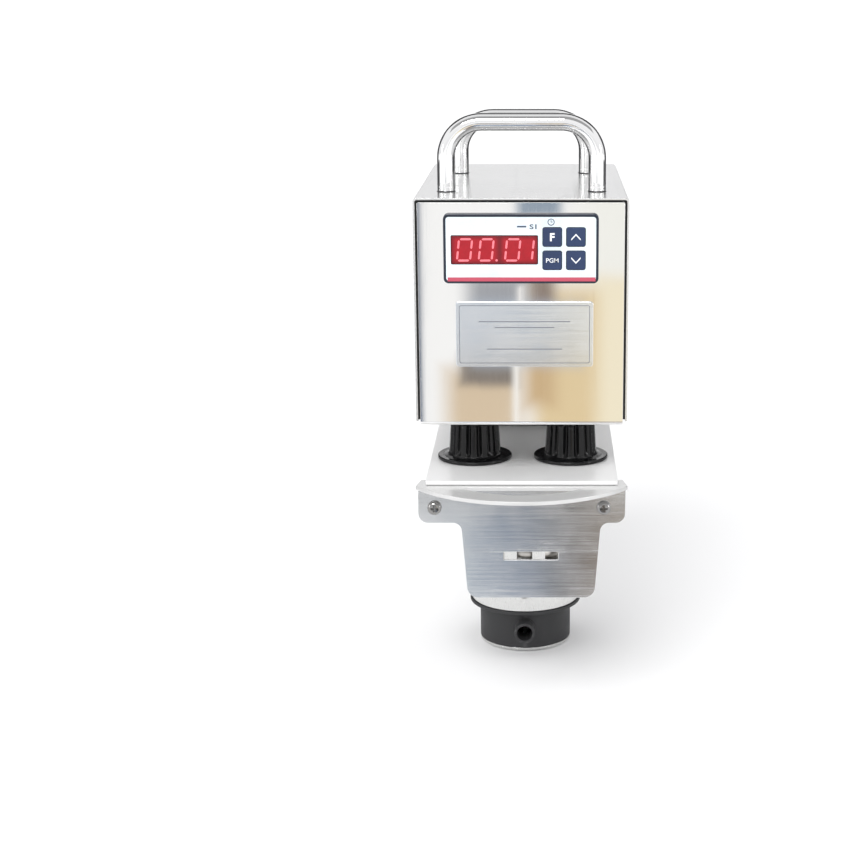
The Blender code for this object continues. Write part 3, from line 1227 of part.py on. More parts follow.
def main():
    """Builds every piece."""
    clear_scene()
    build_chassis()
    build_cover()
    build_handle("handle_front", FRONT_HANDLE_SPAN, FRONT_HANDLE_HEIGHT, FRONT_HANDLE_BACK)
    build_handle("handle_rear", REAR_HANDLE_SPAN, REAR_HANDLE_HEIGHT, REAR_HANDLE_BACK)
    build_handle_nuts()
    build_nameplate()
    build_controller()
    build_supply()
    build_rear_fittings()
    build_motor()
    build_drive()
    build_neck()
    build_shelf()
    build_rim_pad()
    for index, side in ((1, -1), (2, 1)):
        build_knob(f"clamp_knob_{index}", side)
        build_cam(index, side)
    build_front_flange()
    build_hook_plate()
    build_bracket_fixings()
    build_base_flange()
    build_pump()
    build_heater()
    build_probe()
    build_float()


main()
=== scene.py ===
"""The looks of the rim-hung water circulator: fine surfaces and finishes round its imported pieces.

Lengths are millimetres unless a comment says otherwise, and each mesh is made in metres. Every new piece
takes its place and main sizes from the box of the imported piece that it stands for.
"""

import json
import math

import bmesh
import bpy
import numpy as np
from mathutils import Matrix, Vector
from mathutils.geometry import tessellate_polygon


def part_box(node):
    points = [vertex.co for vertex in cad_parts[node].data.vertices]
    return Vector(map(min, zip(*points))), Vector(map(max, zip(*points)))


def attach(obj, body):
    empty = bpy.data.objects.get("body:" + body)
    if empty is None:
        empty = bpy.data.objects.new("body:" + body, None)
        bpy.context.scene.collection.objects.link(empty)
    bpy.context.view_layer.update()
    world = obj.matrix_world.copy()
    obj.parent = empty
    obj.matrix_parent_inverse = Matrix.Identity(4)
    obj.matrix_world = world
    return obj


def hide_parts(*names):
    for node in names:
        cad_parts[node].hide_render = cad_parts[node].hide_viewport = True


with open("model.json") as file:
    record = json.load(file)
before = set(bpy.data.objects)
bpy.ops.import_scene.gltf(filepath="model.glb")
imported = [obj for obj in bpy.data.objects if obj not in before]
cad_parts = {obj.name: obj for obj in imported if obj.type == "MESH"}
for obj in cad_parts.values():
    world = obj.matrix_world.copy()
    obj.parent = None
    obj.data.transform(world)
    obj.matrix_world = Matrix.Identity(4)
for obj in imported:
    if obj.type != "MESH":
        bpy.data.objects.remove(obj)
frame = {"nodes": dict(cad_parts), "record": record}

MM = 0.001
TAU = 2 * math.pi
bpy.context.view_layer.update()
NODE_BODY = {node: body for body, nodes in frame["record"]["behaviour"]["bodies"].items() for node in nodes}


def span(node):
    """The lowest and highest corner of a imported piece, in millimetres."""
    low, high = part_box(node)
    return np.array(low) / MM, np.array(high) / MM


def middle(node):
    """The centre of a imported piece's box, in millimetres."""
    low, high = span(node)
    return (low + high) / 2


# ---------------------------------------------------------------- surfaces


def rounded(corners, steps=6):
    """The closed outline through (u, v, radius) corners, each corner with a radius turned into an arc.

    The arc's centre lies on the corner's bisector at radius / sin(half angle), and the arc runs between the
    two points at radius / tan(half angle) from the corner.
    """
    places = np.array([corner[:2] for corner in corners], float)
    pieces = []
    for index, (_, _, radius) in enumerate(corners):
        here = places[index]
        if not radius:
            pieces.append(here[None])
            continue
        back = places[index - 1] - here
        ahead = places[(index + 1) % len(corners)] - here
        back /= np.linalg.norm(back)
        ahead /= np.linalg.norm(ahead)
        half = math.acos(np.clip(back @ ahead, -1, 1)) / 2
        bisector = (back + ahead) / np.linalg.norm(back + ahead)
        centre = here + bisector * radius / math.sin(half)
        start = here + back * radius / math.tan(half) - centre
        end = here + ahead * radius / math.tan(half) - centre
        share = np.linspace(0, 1, steps + 1)[:, None]
        sweep = math.pi - 2 * half
        arc = (start * np.sin((1 - share) * sweep) + end * np.sin(share * sweep)) / math.sin(sweep)
        pieces.append(centre + arc)
    return np.concatenate(pieces)


def rectangle(u, v, width, height, radius=0.0, steps=6):
    """A rectangle about its middle, with rounded corners where a radius is given."""
    left, right, low, high = u - width / 2, u + width / 2, v - height / 2, v + height / 2
    corners = ((left, low), (right, low), (right, high), (left, high))
    return rounded([(*corner, radius) for corner in corners], steps)


def circle(u, v, radius, count=48):
    """A closed round outline: radius times the cosine and sine of evenly spaced angles."""
    angles = np.arange(count) / count * TAU
    return np.stack([u + radius * np.cos(angles), v + radius * np.sin(angles)], 1)


def arc_between(centre, radius, start, end, steps):
    """Points along an arc, from one angle in degrees to another."""
    angles = np.radians(np.linspace(start, end, steps + 1))
    return np.stack([centre[0] + radius * np.cos(angles), centre[1] + radius * np.sin(angles)], 1)


def skin(grid, close_rows=False, close_columns=False, cap=False):
    """Points and faces of a grid of rows by columns of points, with its two end rows filled where cap is
    set.
    """
    rows, columns = grid.shape[:2]
    number = np.arange(rows * columns).reshape(rows, columns)
    if close_rows:
        number = np.concatenate([number, number[:1]])
    if close_columns:
        number = np.concatenate([number, number[:, :1]], 1)
    quads = np.stack([number[:-1, :-1], number[:-1, 1:], number[1:, 1:], number[1:, :-1]], -1).reshape(-1, 4)
    faces = quads.tolist()
    if cap:
        faces.append(list(range(columns))[::-1])
        faces.append(list(range((rows - 1) * columns, rows * columns)))
    return grid.reshape(-1, 3), faces


def together(*shapes):
    """Several sets of points and faces as one."""
    points, faces, count = [], [], 0
    for shape_points, shape_faces in shapes:
        points.append(shape_points)
        faces += [[corner + count for corner in face] for face in shape_faces]
        count += len(shape_points)
    return np.concatenate(points), faces


def aimed(points, axis):
    """Points drawn with their third number along Z, turned so that it runs along X, Y or Z."""
    order = {"X": [2, 0, 1], "Y": [0, 2, 1], "Z": [0, 1, 2]}[axis]
    return points[..., order]


def turned(profile, at=(0, 0, 0), axis="Z", count=64, ring=False, wave=None):
    """A surface of revolution: each (radius, height) of the profile, at evenly spaced angles round the
    axis.

    wave(angle, radius, height) gives the radius back, where the surface isn't quite round. A ring's profile
    closes on itself, and any other profile starts and ends on the axis.
    """
    profile = np.asarray(profile, float)
    angle = (np.arange(count) / count * TAU)[None, :]
    radius = np.repeat(profile[:, :1], count, 1)
    height = np.repeat(profile[:, 1:], count, 1)
    if wave:
        radius = wave(angle, radius, height)
    grid = np.stack([radius * np.cos(angle), radius * np.sin(angle), height], -1)
    points, faces = skin(aimed(grid, axis), close_rows=ring, close_columns=True)
    return points + np.array(at, float), faces


def along(path, section, side, direction=None):
    """A closed section carried along a path, with both ends filled.

    At each point of the path the section's first number runs along side, made square to the path, and its
    second along the cross product of the path's direction and side. section is (columns, 2), or (rows,
    columns, 2).
    """
    path = np.asarray(path, float)
    if direction is None:
        direction = np.gradient(path, axis=0)
    direction = direction / np.linalg.norm(direction, axis=1)[:, None]
    side = np.broadcast_to(np.asarray(side, float), path.shape)
    side = side - direction * (side * direction).sum(1)[:, None]
    side /= np.linalg.norm(side, axis=1)[:, None]
    other = np.cross(direction, side)
    section = np.broadcast_to(np.asarray(section, float), (len(path), *np.shape(section)[-2:]))
    grid = path[:, None] + section[..., :1] * side[:, None] + section[..., 1:] * other[:, None]
    return skin(grid, close_columns=True, cap=True)


def rod(path, side, radii, count=32):
    """A round bar along a path. Its radius follows (distance along the path, radius) steps, where a negative
    distance is counted back from the path's end.
    """
    path = np.asarray(path, float)
    steps = np.concatenate([[0], np.cumsum(np.linalg.norm(np.diff(path, axis=0), axis=1))])
    marks = [(where if where >= 0 else steps[-1] + where, radius) for where, radius in radii]
    first, last = marks[0][0], marks[-1][0]
    known = np.array(sorted(marks, key=lambda mark: mark[0]))
    inner = [(where, np.interp(where, known[:, 0], known[:, 1])) for where in steps if first < where < last]
    rows = np.array(sorted(marks + inner, key=lambda mark: mark[0]))
    line = np.stack([np.interp(rows[:, 0], steps, path[:, k]) for k in range(3)], 1)
    heading = np.gradient(path, steps, axis=0)
    heading = np.stack([np.interp(rows[:, 0], steps, heading[:, k]) for k in range(3)], 1)
    sides = np.broadcast_to(np.asarray(side, float), path.shape)
    sides = np.stack([np.interp(rows[:, 0], steps, sides[:, k]) for k in range(3)], 1)
    return along(line, circle(0, 0, 1.0, count)[None] * rows[:, 1][:, None, None], sides, heading)


def facing(outline, outer):
    """The outline, run anticlockwise if it is the outer one and clockwise if it is a hole."""
    outline = np.asarray(outline, float)
    ahead = np.roll(outline, -1, 0)
    area = (outline[:, 0] * ahead[:, 1] - ahead[:, 0] * outline[:, 1]).sum()
    return outline if (area > 0) == outer else outline[::-1]


def inset(outline, distance):
    """The outline moved into the material, on its left, by a distance: each corner goes along the sum of
    its two sides' normals, over one plus their dot product.
    """
    ahead = np.roll(outline, -1, 0) - outline
    ahead /= np.linalg.norm(ahead, axis=1)[:, None]
    normal = np.stack([-ahead[:, 1], ahead[:, 0]], 1)
    before = np.roll(normal, 1, 0)
    miter = (normal + before) / (1 + (normal * before).sum(1))[:, None]
    return outline + miter * distance


def edge_rings(low, high, low_edge, high_edge=None, steps=3):
    """The (inset, height) steps of a wall whose two edges are quarter rounds, or sharp where an edge is
    nought.
    """
    high_edge = low_edge if high_edge is None else high_edge
    turn = np.linspace(0, math.pi / 2, steps + 1)
    foot = np.stack([low_edge * (1 - np.sin(turn)), low + low_edge * (1 - np.cos(turn))], 1)
    head = np.stack([high_edge * (1 - np.sin(turn[::-1])), high - high_edge * (1 - np.cos(turn[::-1]))], 1)
    return np.concatenate([foot if low_edge else foot[-1:], head if high_edge else head[:1]])


def sheet(outlines, rings, axis="Z"):
    """A flat piece with holes. Each outline is carried through its (inset, height) rings, and the flat
    faces are filled between the first rings and between the last rings. The first outline is the outer one.
    """
    loops = [facing(outline, index == 0) for index, outline in enumerate(outlines)]
    if isinstance(rings, np.ndarray):
        rings = [rings] * len(loops)
    walls, bottoms, tops, count = [], [], [], 0
    for loop, steps in zip(loops, rings):
        grid = np.stack([np.column_stack([inset(loop, d), np.full(len(loop), h)]) for d, h in steps])
        walls.append(skin(grid, close_columns=True))
        bottoms.append((grid[0], count))
        tops.append((grid[-1], count + (len(steps) - 1) * len(loop)))
        count += len(steps) * len(loop)
    points, faces = together(*walls)
    for flats in (bottoms, tops):
        number = np.concatenate([np.arange(len(ring)) + start for ring, start in flats])
        fill = tessellate_polygon([[Vector(point) for point in ring.tolist()] for ring, _ in flats])
        faces += [[int(number[corner]) for corner in triangle] for triangle in fill]
    return aimed(points, axis), faces


def slab(outlines, low, high, edge, axis="Z", steps=3):
    """A flat piece with holes and softly rounded edges."""
    return sheet(outlines, edge_rings(low, high, edge, edge, steps), axis)


def read_back(mesh):
    """The points and faces of a mesh."""
    points = np.zeros(len(mesh.vertices) * 3)
    mesh.vertices.foreach_get("co", points)
    return points.reshape(-1, 3), [list(face.vertices) for face in mesh.polygons]


def opened(shape):
    """The shape's points and faces in a form that can be cut and merged."""
    mesh = bpy.data.meshes.new("shape")
    mesh.from_pydata(np.asarray(shape[0]).tolist(), [], shape[1])
    work = bmesh.new()
    work.from_mesh(mesh)
    bpy.data.meshes.remove(mesh)
    return work


def finished(work):
    """The points and faces of a shape that has been cut or merged."""
    mesh = bpy.data.meshes.new("shape")
    work.to_mesh(mesh)
    work.free()
    shape = read_back(mesh)
    bpy.data.meshes.remove(mesh)
    return shape


def scored(shape, lines):
    """The shape cut through at given values of its first number, so that it can be folded or rolled there.
    """
    work = opened(shape)
    for line in lines:
        everything = [*work.verts, *work.edges, *work.faces]
        bmesh.ops.bisect_plane(work, geom=everything, plane_co=(line, 0, 0), plane_no=(1, 0, 0), dist=1e-5)
    return finished(work)


def folded(shape, corners, radius, steps=7):
    """A flat sheet folded along a line of corners.

    The sheet's first number is the length along its outer side, its second runs along the folds, and its
    third goes in from the outer side. Returned points are (u, v) in the plane of the corners, and the
    length along the folds.
    """
    corners = np.asarray(corners, float)
    runs = np.diff(corners, axis=0)
    lengths = np.linalg.norm(runs, axis=1)
    ways = runs / lengths[:, None]
    turns = np.arctan2(
        ways[:-1, 0] * ways[1:, 1] - ways[:-1, 1] * ways[1:, 0], (ways[:-1] * ways[1:]).sum(1))
    cuts = radius * np.tan(np.abs(turns) / 2)
    lines, where, place, heading = [], 0.0, corners[0], math.atan2(ways[0, 1], ways[0, 0])
    parts = []
    for index, length in enumerate(lengths):
        straight = length - (cuts[index - 1] if index else 0) - (cuts[index] if index < len(cuts) else 0)
        parts.append((where, straight, place, heading, 0.0))
        place = place + straight * np.array([math.cos(heading), math.sin(heading)])
        where += straight
        if index < len(cuts):
            turn = turns[index]
            arc = radius * abs(turn)
            parts.append((where, arc, place, heading, turn))
            lines += list(where + arc * np.linspace(0, 1, steps + 1))
            side = math.copysign(1, turn)
            hub = place + radius * side * np.array([-math.sin(heading), math.cos(heading)])
            heading += turn
            place = hub - radius * side * np.array([-math.sin(heading), math.cos(heading)])
            where += arc
    points, faces = scored(shape, lines)
    out = np.zeros_like(points)
    for index, (begin, length, start, way, turn) in enumerate(parts):
        last = index == len(parts) - 1
        chosen = (points[:, 0] >= begin - 1e-4) & ((points[:, 0] <= begin + length + 1e-4) | last)
        share = (points[chosen, 0] - begin)
        depth = points[chosen, 2]
        angle = way + turn * share / max(length, 1e-9)
        inward = np.stack([-np.sin(angle), np.cos(angle)], 1)
        if turn:
            side = math.copysign(1, turn)
            hub = start + radius * side * np.array([-math.sin(way), math.cos(way)])
            flat = hub - radius * side * inward
        else:
            flat = start + share[:, None] * np.array([math.cos(way), math.sin(way)])
        flat = flat + inward * depth[:, None]
        out[chosen] = np.column_stack([flat, points[chosen, 1]])
    return out, faces


# ---------------------------------------------------------------- pieces


def closed(shape):
    """The shape with its doubled points merged and its faces turned outwards."""
    work = opened(shape)
    bmesh.ops.remove_doubles(work, verts=work.verts, dist=0.002)
    bmesh.ops.recalc_face_normals(work, faces=work.faces)
    return finished(work)


def piece(name, shapes, finish, stands_for, crease=None):
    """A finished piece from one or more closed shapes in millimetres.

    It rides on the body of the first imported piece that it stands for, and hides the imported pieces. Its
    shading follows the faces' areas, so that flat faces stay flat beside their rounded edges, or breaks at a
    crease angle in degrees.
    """
    shapes = [shapes] if isinstance(shapes, tuple) else shapes
    nodes = [stands_for] if isinstance(stands_for, str) else list(stands_for)
    points, faces = together(*[closed(shape) for shape in shapes])
    mesh = bpy.data.meshes.new(name)
    mesh.from_pydata((points * MM).tolist(), [], faces)
    mesh.validate()
    obj = bpy.data.objects.new(name, mesh)
    bpy.context.scene.collection.objects.link(obj)
    mesh.materials.append(finish)
    shade(mesh, crease)
    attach(obj, NODE_BODY[nodes[0]])
    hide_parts(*nodes)
    return obj


def shade(mesh, crease):
    """Smooth shading whose normals are the faces' normals weighted by their areas, or broken at an angle."""
    mesh.shade_smooth()
    if crease is not None:
        mesh.set_sharp_from_angle(angle=math.radians(crease))
        return
    count = len(mesh.polygons)
    normals, areas = np.zeros(count * 3), np.zeros(count)
    sizes, corners = np.zeros(count, int), np.zeros(len(mesh.loops), int)
    mesh.polygons.foreach_get("normal", normals)
    mesh.polygons.foreach_get("area", areas)
    mesh.polygons.foreach_get("loop_total", sizes)
    mesh.loops.foreach_get("vertex_index", corners)
    weighted = np.repeat(normals.reshape(-1, 3) * areas[:, None], sizes, 0)
    total = np.zeros((len(mesh.vertices), 3))
    np.add.at(total, corners, weighted)
    total /= np.maximum(np.linalg.norm(total, axis=1), 1e-20)[:, None]
    mesh.normals_split_custom_set_from_vertices(total.tolist())


def repaint(node, finish):
    """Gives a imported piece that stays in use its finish."""
    for slot in frame["nodes"][node].material_slots:
        slot.material = finish


def lettering(text, size, at, depth, width=None, bold=0.012):
    """Raised letters that face the front, as points and faces, centred on a place. Their strokes are
    widened by a share of the letters' size.
    """
    curve = bpy.data.curves.new("letters", "FONT")
    curve.body = text
    curve.size = size
    curve.extrude = depth / 2
    curve.offset = bold * size
    curve.align_x = "CENTER"
    curve.align_y = "CENTER"
    curve.resolution_u = 3
    holder = bpy.data.objects.new("letters", curve)
    bpy.context.scene.collection.objects.link(holder)
    mesh = bpy.data.meshes.new_from_object(holder.evaluated_get(bpy.context.evaluated_depsgraph_get()))
    bpy.data.objects.remove(holder, do_unlink=True)
    flat, faces = read_back(mesh)
    flat = flat - (flat.min(0) + flat.max(0)) / 2
    if width:
        flat[:, 0] *= width / np.ptp(flat[:, 0])
    return np.column_stack([flat[:, 0], -flat[:, 2], flat[:, 1]]) + np.array(at, float), faces


# ---------------------------------------------------------------- finishes


RANGE_ENDS = ("From Min", "From Max", "To Min", "To Max")


class Finish:
    """A Principled material, with helpers that wire its patterns. Patterns read Object coordinates."""

    def __init__(self, name, colour, roughness, metallic=0.0, **values):
        """A material with its plain values; further sockets are given by name."""
        self.material = bpy.data.materials.new(name)
        self.material.use_nodes = True
        self.tree = self.material.node_tree
        self.shader = self.tree.nodes["Principled BSDF"]
        self.set("Base Color", (*colour, 1.0))
        self.set("Roughness", roughness)
        self.set("Metallic", metallic)
        for key, value in values.items():
            self.set(key.replace("_", " "), value)
        self.height = None

    def set(self, socket, value):
        """A constant on the shader's own socket."""
        self.shader.inputs[socket].default_value = value

    def node(self, kind, **values):
        """A node with its properties, or its inputs where a property of that name doesn't exist."""
        made = self.tree.nodes.new(kind)
        for key, value in values.items():
            if hasattr(made, key):
                setattr(made, key, value)
            else:
                made.inputs[key].default_value = value
        return made

    def link(self, source, target):
        """Joins an output to an input."""
        self.tree.links.new(source, target)

    def place(self, scale=(1, 1, 1), turn=(0, 0, 0), at=(0, 0, 0)):
        """Object coordinates in metres, scaled by each axis."""
        mapping = self.node("ShaderNodeMapping", Scale=scale, Rotation=turn, Location=at)
        self.link(self.node("ShaderNodeTexCoord").outputs["Object"], mapping.inputs["Vector"])
        return mapping.outputs["Vector"]

    def noise(self, scale, stretch=(1, 1, 1), detail=3.0, rough=0.55, at=(0, 0, 0)):
        """Noise with features of about one over scale, in metres, longer along an axis whose stretch is
        small.
        """
        made = self.node("ShaderNodeTexNoise", Scale=scale, Detail=detail, Roughness=rough)
        self.link(self.place(stretch, at=at), made.inputs["Vector"])
        return made.outputs["Fac"]

    def remap(self, value, low, high, new_low, new_high):
        """The value, moved from one range to another and held there."""
        made = self.node("ShaderNodeMapRange", clamp=True)
        self.link(value, made.inputs["Value"])
        for socket, number in zip(RANGE_ENDS, (low, high, new_low, new_high)):
            made.inputs[socket].default_value = number
        return made.outputs["Result"]

    def sum(self, first, second, operation="ADD"):
        """Two values joined by an operation; the second may be a number."""
        made = self.node("ShaderNodeMath", operation=operation)
        self.link(first, made.inputs[0])
        if isinstance(second, (int, float)):
            made.inputs[1].default_value = second
        else:
            self.link(second, made.inputs[1])
        return made.outputs["Value"]

    def colours(self, value, *stops):
        """A colour for each value, through (place, colour) stops."""
        made = self.node("ShaderNodeValToRGB")
        ramp = made.color_ramp
        while len(ramp.elements) < len(stops):
            ramp.elements.new(0.5)
        for element, (place, colour) in zip(ramp.elements, stops):
            element.position = place
            element.color = (*colour, 1.0)
        self.link(value, made.inputs["Fac"])
        return made.outputs["Color"]

    def paint(self, colour):
        """Wires a colour pattern to the shader."""
        self.link(colour, self.shader.inputs["Base Color"])
        return self

    def gloss(self, value):
        """Wires a roughness pattern to the shader."""
        self.link(value, self.shader.inputs["Roughness"])
        return self

    def bump(self, value, depth):
        """Adds relief of a depth in metres."""
        made = self.node("ShaderNodeBump", Strength=1.0, Distance=depth)
        self.link(value, made.inputs["Height"])
        if self.height:
            self.link(self.height, made.inputs["Normal"])
        self.height = made.outputs["Normal"]
        self.link(self.height, self.shader.inputs["Normal"])
        return self

    def worn(self, colour, edge_colour, low=0.52, high=0.58):
        """Paints the colour pattern, lighter where the surface turns sharply outwards."""
        shape = self.node("ShaderNodeNewGeometry")
        amount = self.remap(shape.outputs["Pointiness"], low, high, 0.0, 1.0)
        mix = self.node("ShaderNodeMix", data_type="RGBA")
        self.link(amount, mix.inputs["Factor"])
        self.link(colour, mix.inputs[6])
        mix.inputs[7].default_value = (*edge_colour, 1.0)
        return self.paint(mix.outputs[2])


def steel(name, colour, roughness, grain, fine, depth, spread, tint, metallic=1.0):
    """Stainless steel: fine grain that is long along the axis with a small number, slow smudges in the
    gloss, faint cloudiness in the colour, and sparse long scratches.
    """
    made = Finish(name, colour, roughness, metallic)
    grain_noise = made.noise(fine, grain, 2.0, 0.6)
    smudge = made.noise(38, (1, 1, 1), 4.0, 0.6, at=(3, 1, 2))
    scratch = made.noise(fine / 6, tuple(0.35 * g for g in grain), 1.0, 0.4, at=(7, 5, 1))
    marks = made.remap(scratch, 0.66, 0.74, 0.0, 1.0)
    gloss = made.sum(
        made.remap(grain_noise, 0.3, 0.7, roughness - spread, roughness + spread),
        made.remap(smudge, 0.35, 0.7, -spread * 0.6, spread * 0.9))
    made.gloss(made.sum(gloss, made.sum(marks, spread, "MULTIPLY")))
    dark = tuple(c * (1 - tint) for c in colour)
    light = tuple(min(1, c * (1 + tint)) for c in colour)
    cloud = made.sum(made.sum(smudge, 0.6, "MULTIPLY"), made.sum(grain_noise, 0.4, "MULTIPLY"))
    made.paint(made.colours(cloud, (0.3, dark), (0.5, colour), (0.72, light)))
    made.bump(grain_noise, depth)
    made.bump(marks, -depth * 2)
    return made.material


def plastic(name, colour, roughness, grain, depth, edge, spread, **values):
    """Moulded plastic: a fine even grain, slow changes of gloss, fine dust and lighter worn edges."""
    made = Finish(name, colour, roughness, 0.0, **values)
    fine = made.noise(grain, (1, 1, 1), 3.0, 0.6)
    slow = made.noise(60, (1, 1, 1), 3.0, 0.5, at=(4, 2, 1))
    made.gloss(made.sum(made.remap(slow, 0.3, 0.7, roughness - spread, roughness + spread),
                        made.remap(fine, 0.3, 0.7, -spread / 3, spread / 3)))
    light = tuple(min(1, c * 1.25 + 0.004) for c in colour)
    dark = tuple(c * 0.8 for c in colour)
    tone = made.colours(made.sum(made.sum(slow, 0.5, "MULTIPLY"), made.sum(fine, 0.5, "MULTIPLY")),
                        (0.35, dark), (0.5, colour), (0.68, light))
    made.worn(tone, edge)
    made.bump(fine, depth)
    return made.material


def board(name, colour, track, pitch=0.0026):
    """Solder mask over copper tracks: a brick pattern of two track widths, and tinned pads at a dot
    pattern.
    """
    made = Finish(name, colour, 0.35, 0.0, Coat_Weight=0.5, Coat_Roughness=0.15)
    cells = made.node("ShaderNodeTexBrick", Scale=1 / pitch / 4)
    made.link(made.place((1, 1, 1)), cells.inputs["Vector"])
    for socket, value in (("Mortar Size", 0.035), ("Brick Width", 1.3), ("Row Height", 0.28)):
        cells.inputs[socket].default_value = value
    dots = made.node("ShaderNodeTexVoronoi", Scale=1 / pitch / 2)
    made.link(made.place((1, 1, 1)), dots.inputs["Vector"])
    pads = made.remap(dots.outputs["Distance"], 0.12, 0.16, 1.0, 0.0)
    mix = made.node("ShaderNodeMix", data_type="RGBA")
    made.link(cells.outputs["Fac"], mix.inputs["Factor"])
    mix.inputs[6].default_value = (*colour, 1.0)
    mix.inputs[7].default_value = (*track, 1.0)
    over = made.node("ShaderNodeMix", data_type="RGBA")
    made.link(pads, over.inputs["Factor"])
    made.link(mix.outputs[2], over.inputs[6])
    over.inputs[7].default_value = (0.72, 0.7, 0.66, 1.0)
    made.paint(over.outputs[2])
    made.gloss(made.remap(pads, 0.0, 1.0, 0.38, 0.22))
    made.bump(made.sum(cells.outputs["Fac"], pads), 0.00003)
    return made.material


def printed(name, colour, roughness=0.45):
    """Screen-printed ink: nearly even, with fine thin spots."""
    made = Finish(name, colour, roughness)
    fine = made.noise(5200, (1, 1, 1), 2.0, 0.6)
    thin = tuple(min(1, 0.86 * c + 0.03) for c in colour)
    made.paint(made.colours(fine, (0.3, thin), (0.55, colour)))
    made.gloss(made.remap(fine, 0.3, 0.7, roughness - 0.06, roughness + 0.08))
    return made.material


def lit(name, base, colour, strength, roughness=0.3):
    """A lit surface with its own colour and its own light, a little uneven through a slow pattern."""
    made = Finish(name, base, roughness)
    slow = made.noise(420, (1, 1, 1), 2.0, 0.5)
    glow = made.colours(slow, (0.3, tuple(c * 0.82 for c in colour)), (0.65, colour))
    made.link(glow, made.shader.inputs["Emission Color"])
    made.set("Emission Strength", strength)
    return made


def fade(made, axis, centre, start, end, low):
    """One near a centre along an axis, falling to a low value between two distances from it, in metres."""
    split = made.node("ShaderNodeSeparateXYZ")
    made.link(made.place(), split.inputs["Vector"])
    away = made.sum(made.sum(split.outputs[axis], centre, "SUBTRACT"), 0.0, "ABSOLUTE")
    return made.remap(away, start, end, 1.0, low)


def lit_pane(name, centre, half, gap):
    """The red pane: its light fades at its borders and in the dark gap between its second and third
    figures.
    """
    made = lit(name, (0.13, 0.003, 0.008), (0.36, 0.003, 0.01), 1.0, 0.16)
    across = fade(made, "X", centre[0], half[0] - 0.0022, half[0], 0.12)
    upwards = fade(made, "Z", centre[1], half[1] - 0.0021, half[1] - 0.0002, 0.12)
    split = made.node("ShaderNodeSeparateXYZ")
    made.link(made.place(), split.inputs["Vector"])
    away = made.sum(made.sum(split.outputs["X"], gap, "SUBTRACT"), 0.0, "ABSOLUTE")
    between = made.remap(away, 0.0004, 0.0026, 0.25, 1.0)
    total = made.sum(made.sum(across, upwards, "MULTIPLY"), between, "MULTIPLY")
    made.link(total, made.shader.inputs["Emission Strength"])
    return made.material


PANEL_STEEL = steel("panel_steel", (0.93, 0.925, 0.92), 0.034, (1, 1, 0.02), 2600, 0.00000004, 0.01, 0.01)
COVER_STEEL = steel("cover_steel", (0.8, 0.8, 0.795), 0.22, (1, 0.02, 1), 2600, 0.0000002, 0.025, 0.02)
SHELF_STEEL = steel("shelf_steel", (0.9, 0.9, 0.895), 0.36, (0.015, 1, 1), 2600, 0.0000002, 0.03, 0.01, 0.12)
FLANGE_STEEL = steel(
    "flange_steel", (0.66, 0.66, 0.655), 0.2, (0.03, 1, 1), 2600, 0.0000002, 0.03, 0.015, 0.2)
HOOK_STEEL = steel("hook_steel", (0.74, 0.745, 0.75), 0.2, (0.012, 1, 1), 2600, 0.0000006, 0.05, 0.05)
PLATE_STEEL = steel("nameplate_steel", (0.84, 0.87, 0.91), 0.17, (0.012, 1, 1), 2600, 0.0000004, 0.04, 0.03)
SCREW_STEEL = steel("screw_steel", (0.3, 0.295, 0.29), 0.16, (1, 1, 1), 2600, 0.0000008, 0.05, 0.05)
CHROME = steel("bright_chrome", (0.93, 0.93, 0.93), 0.045, (1, 1, 1), 900, 0.0000002, 0.02, 0.015)
FOOD_STEEL = steel("food_steel", (0.72, 0.72, 0.71), 0.26, (1, 1, 0.03), 5200, 0.000001, 0.06, 0.05)
GUARD_STEEL = steel("guard_steel", (0.72, 0.72, 0.71), 0.28, (1, 1, 0.05), 5200, 0.000001, 0.06, 0.05)
COIL_STEEL = steel("heater_steel", (0.58, 0.56, 0.53), 0.34, (1, 1, 1), 3200, 0.000002, 0.07, 0.1)
ROUGH_STEEL = steel("machined_steel", (0.6, 0.6, 0.59), 0.36, (1, 1, 0.05), 4200, 0.000002, 0.07, 0.07)
IRON = steel("core_iron", (0.3, 0.3, 0.31), 0.5, (1, 1, 0.04), 3200, 0.000006, 0.08, 0.15)
GLOSS_BLACK = plastic("gloss_black", (0.006, 0.006, 0.0065), 0.17, 1800, 0.000003, (0.02, 0.02, 0.021), 0.05,
                      Specular_IOR_Level=0.3)
MATT_BLACK = plastic("matt_black", (0.022, 0.022, 0.024), 0.55, 2600, 0.00002, (0.07, 0.07, 0.072), 0.08)
NAVY = plastic("navy_plastic", (0.008, 0.014, 0.03), 0.42, 2400, 0.000006, (0.03, 0.045, 0.08), 0.06)
KEY_NAVY = plastic("key_navy", (0.013, 0.033, 0.1), 0.5, 2400, 0.000004, (0.05, 0.075, 0.15), 0.07)
FACE_SHEET = plastic("face_sheet", (0.76, 0.87, 0.93), 0.4, 3600, 0.000002, (0.8, 0.88, 0.93), 0.05)
# Near-black for the strip that paints the shade in the gap between the panel and the cover.
GAP_SHADE_BLACK = plastic("gap_shade_black", (0.006, 0.006, 0.006), 0.75, 1800, 0.00001, (0.012, 0.012, 0.012), 0.05)
SILICONE = plastic("silicone", (0.2, 0.2, 0.21), 0.62, 2200, 0.00001, (0.3, 0.3, 0.31), 0.06)
WHITE_PLASTIC = plastic("white_plastic", (0.78, 0.78, 0.76), 0.42, 2400, 0.00001, (0.85, 0.85, 0.84), 0.07)
BOARD_GREEN = board("board_green", (0.02, 0.16, 0.07), (0.05, 0.3, 0.13))
WHITE_INK = printed("white_ink", (0.93, 0.95, 0.97))
DARK_INK = printed("dark_ink", (0.06, 0.08, 0.13))
RULE_INK = printed("rule_ink", (0.16, 0.17, 0.2))
PINK_INK = printed("pink_ink", (0.55, 0.07, 0.12))
DIGIT_LIGHT = lit("digit_light", (0.2, 0.03, 0.04), (1.0, 0.27, 0.32), 1.0).material


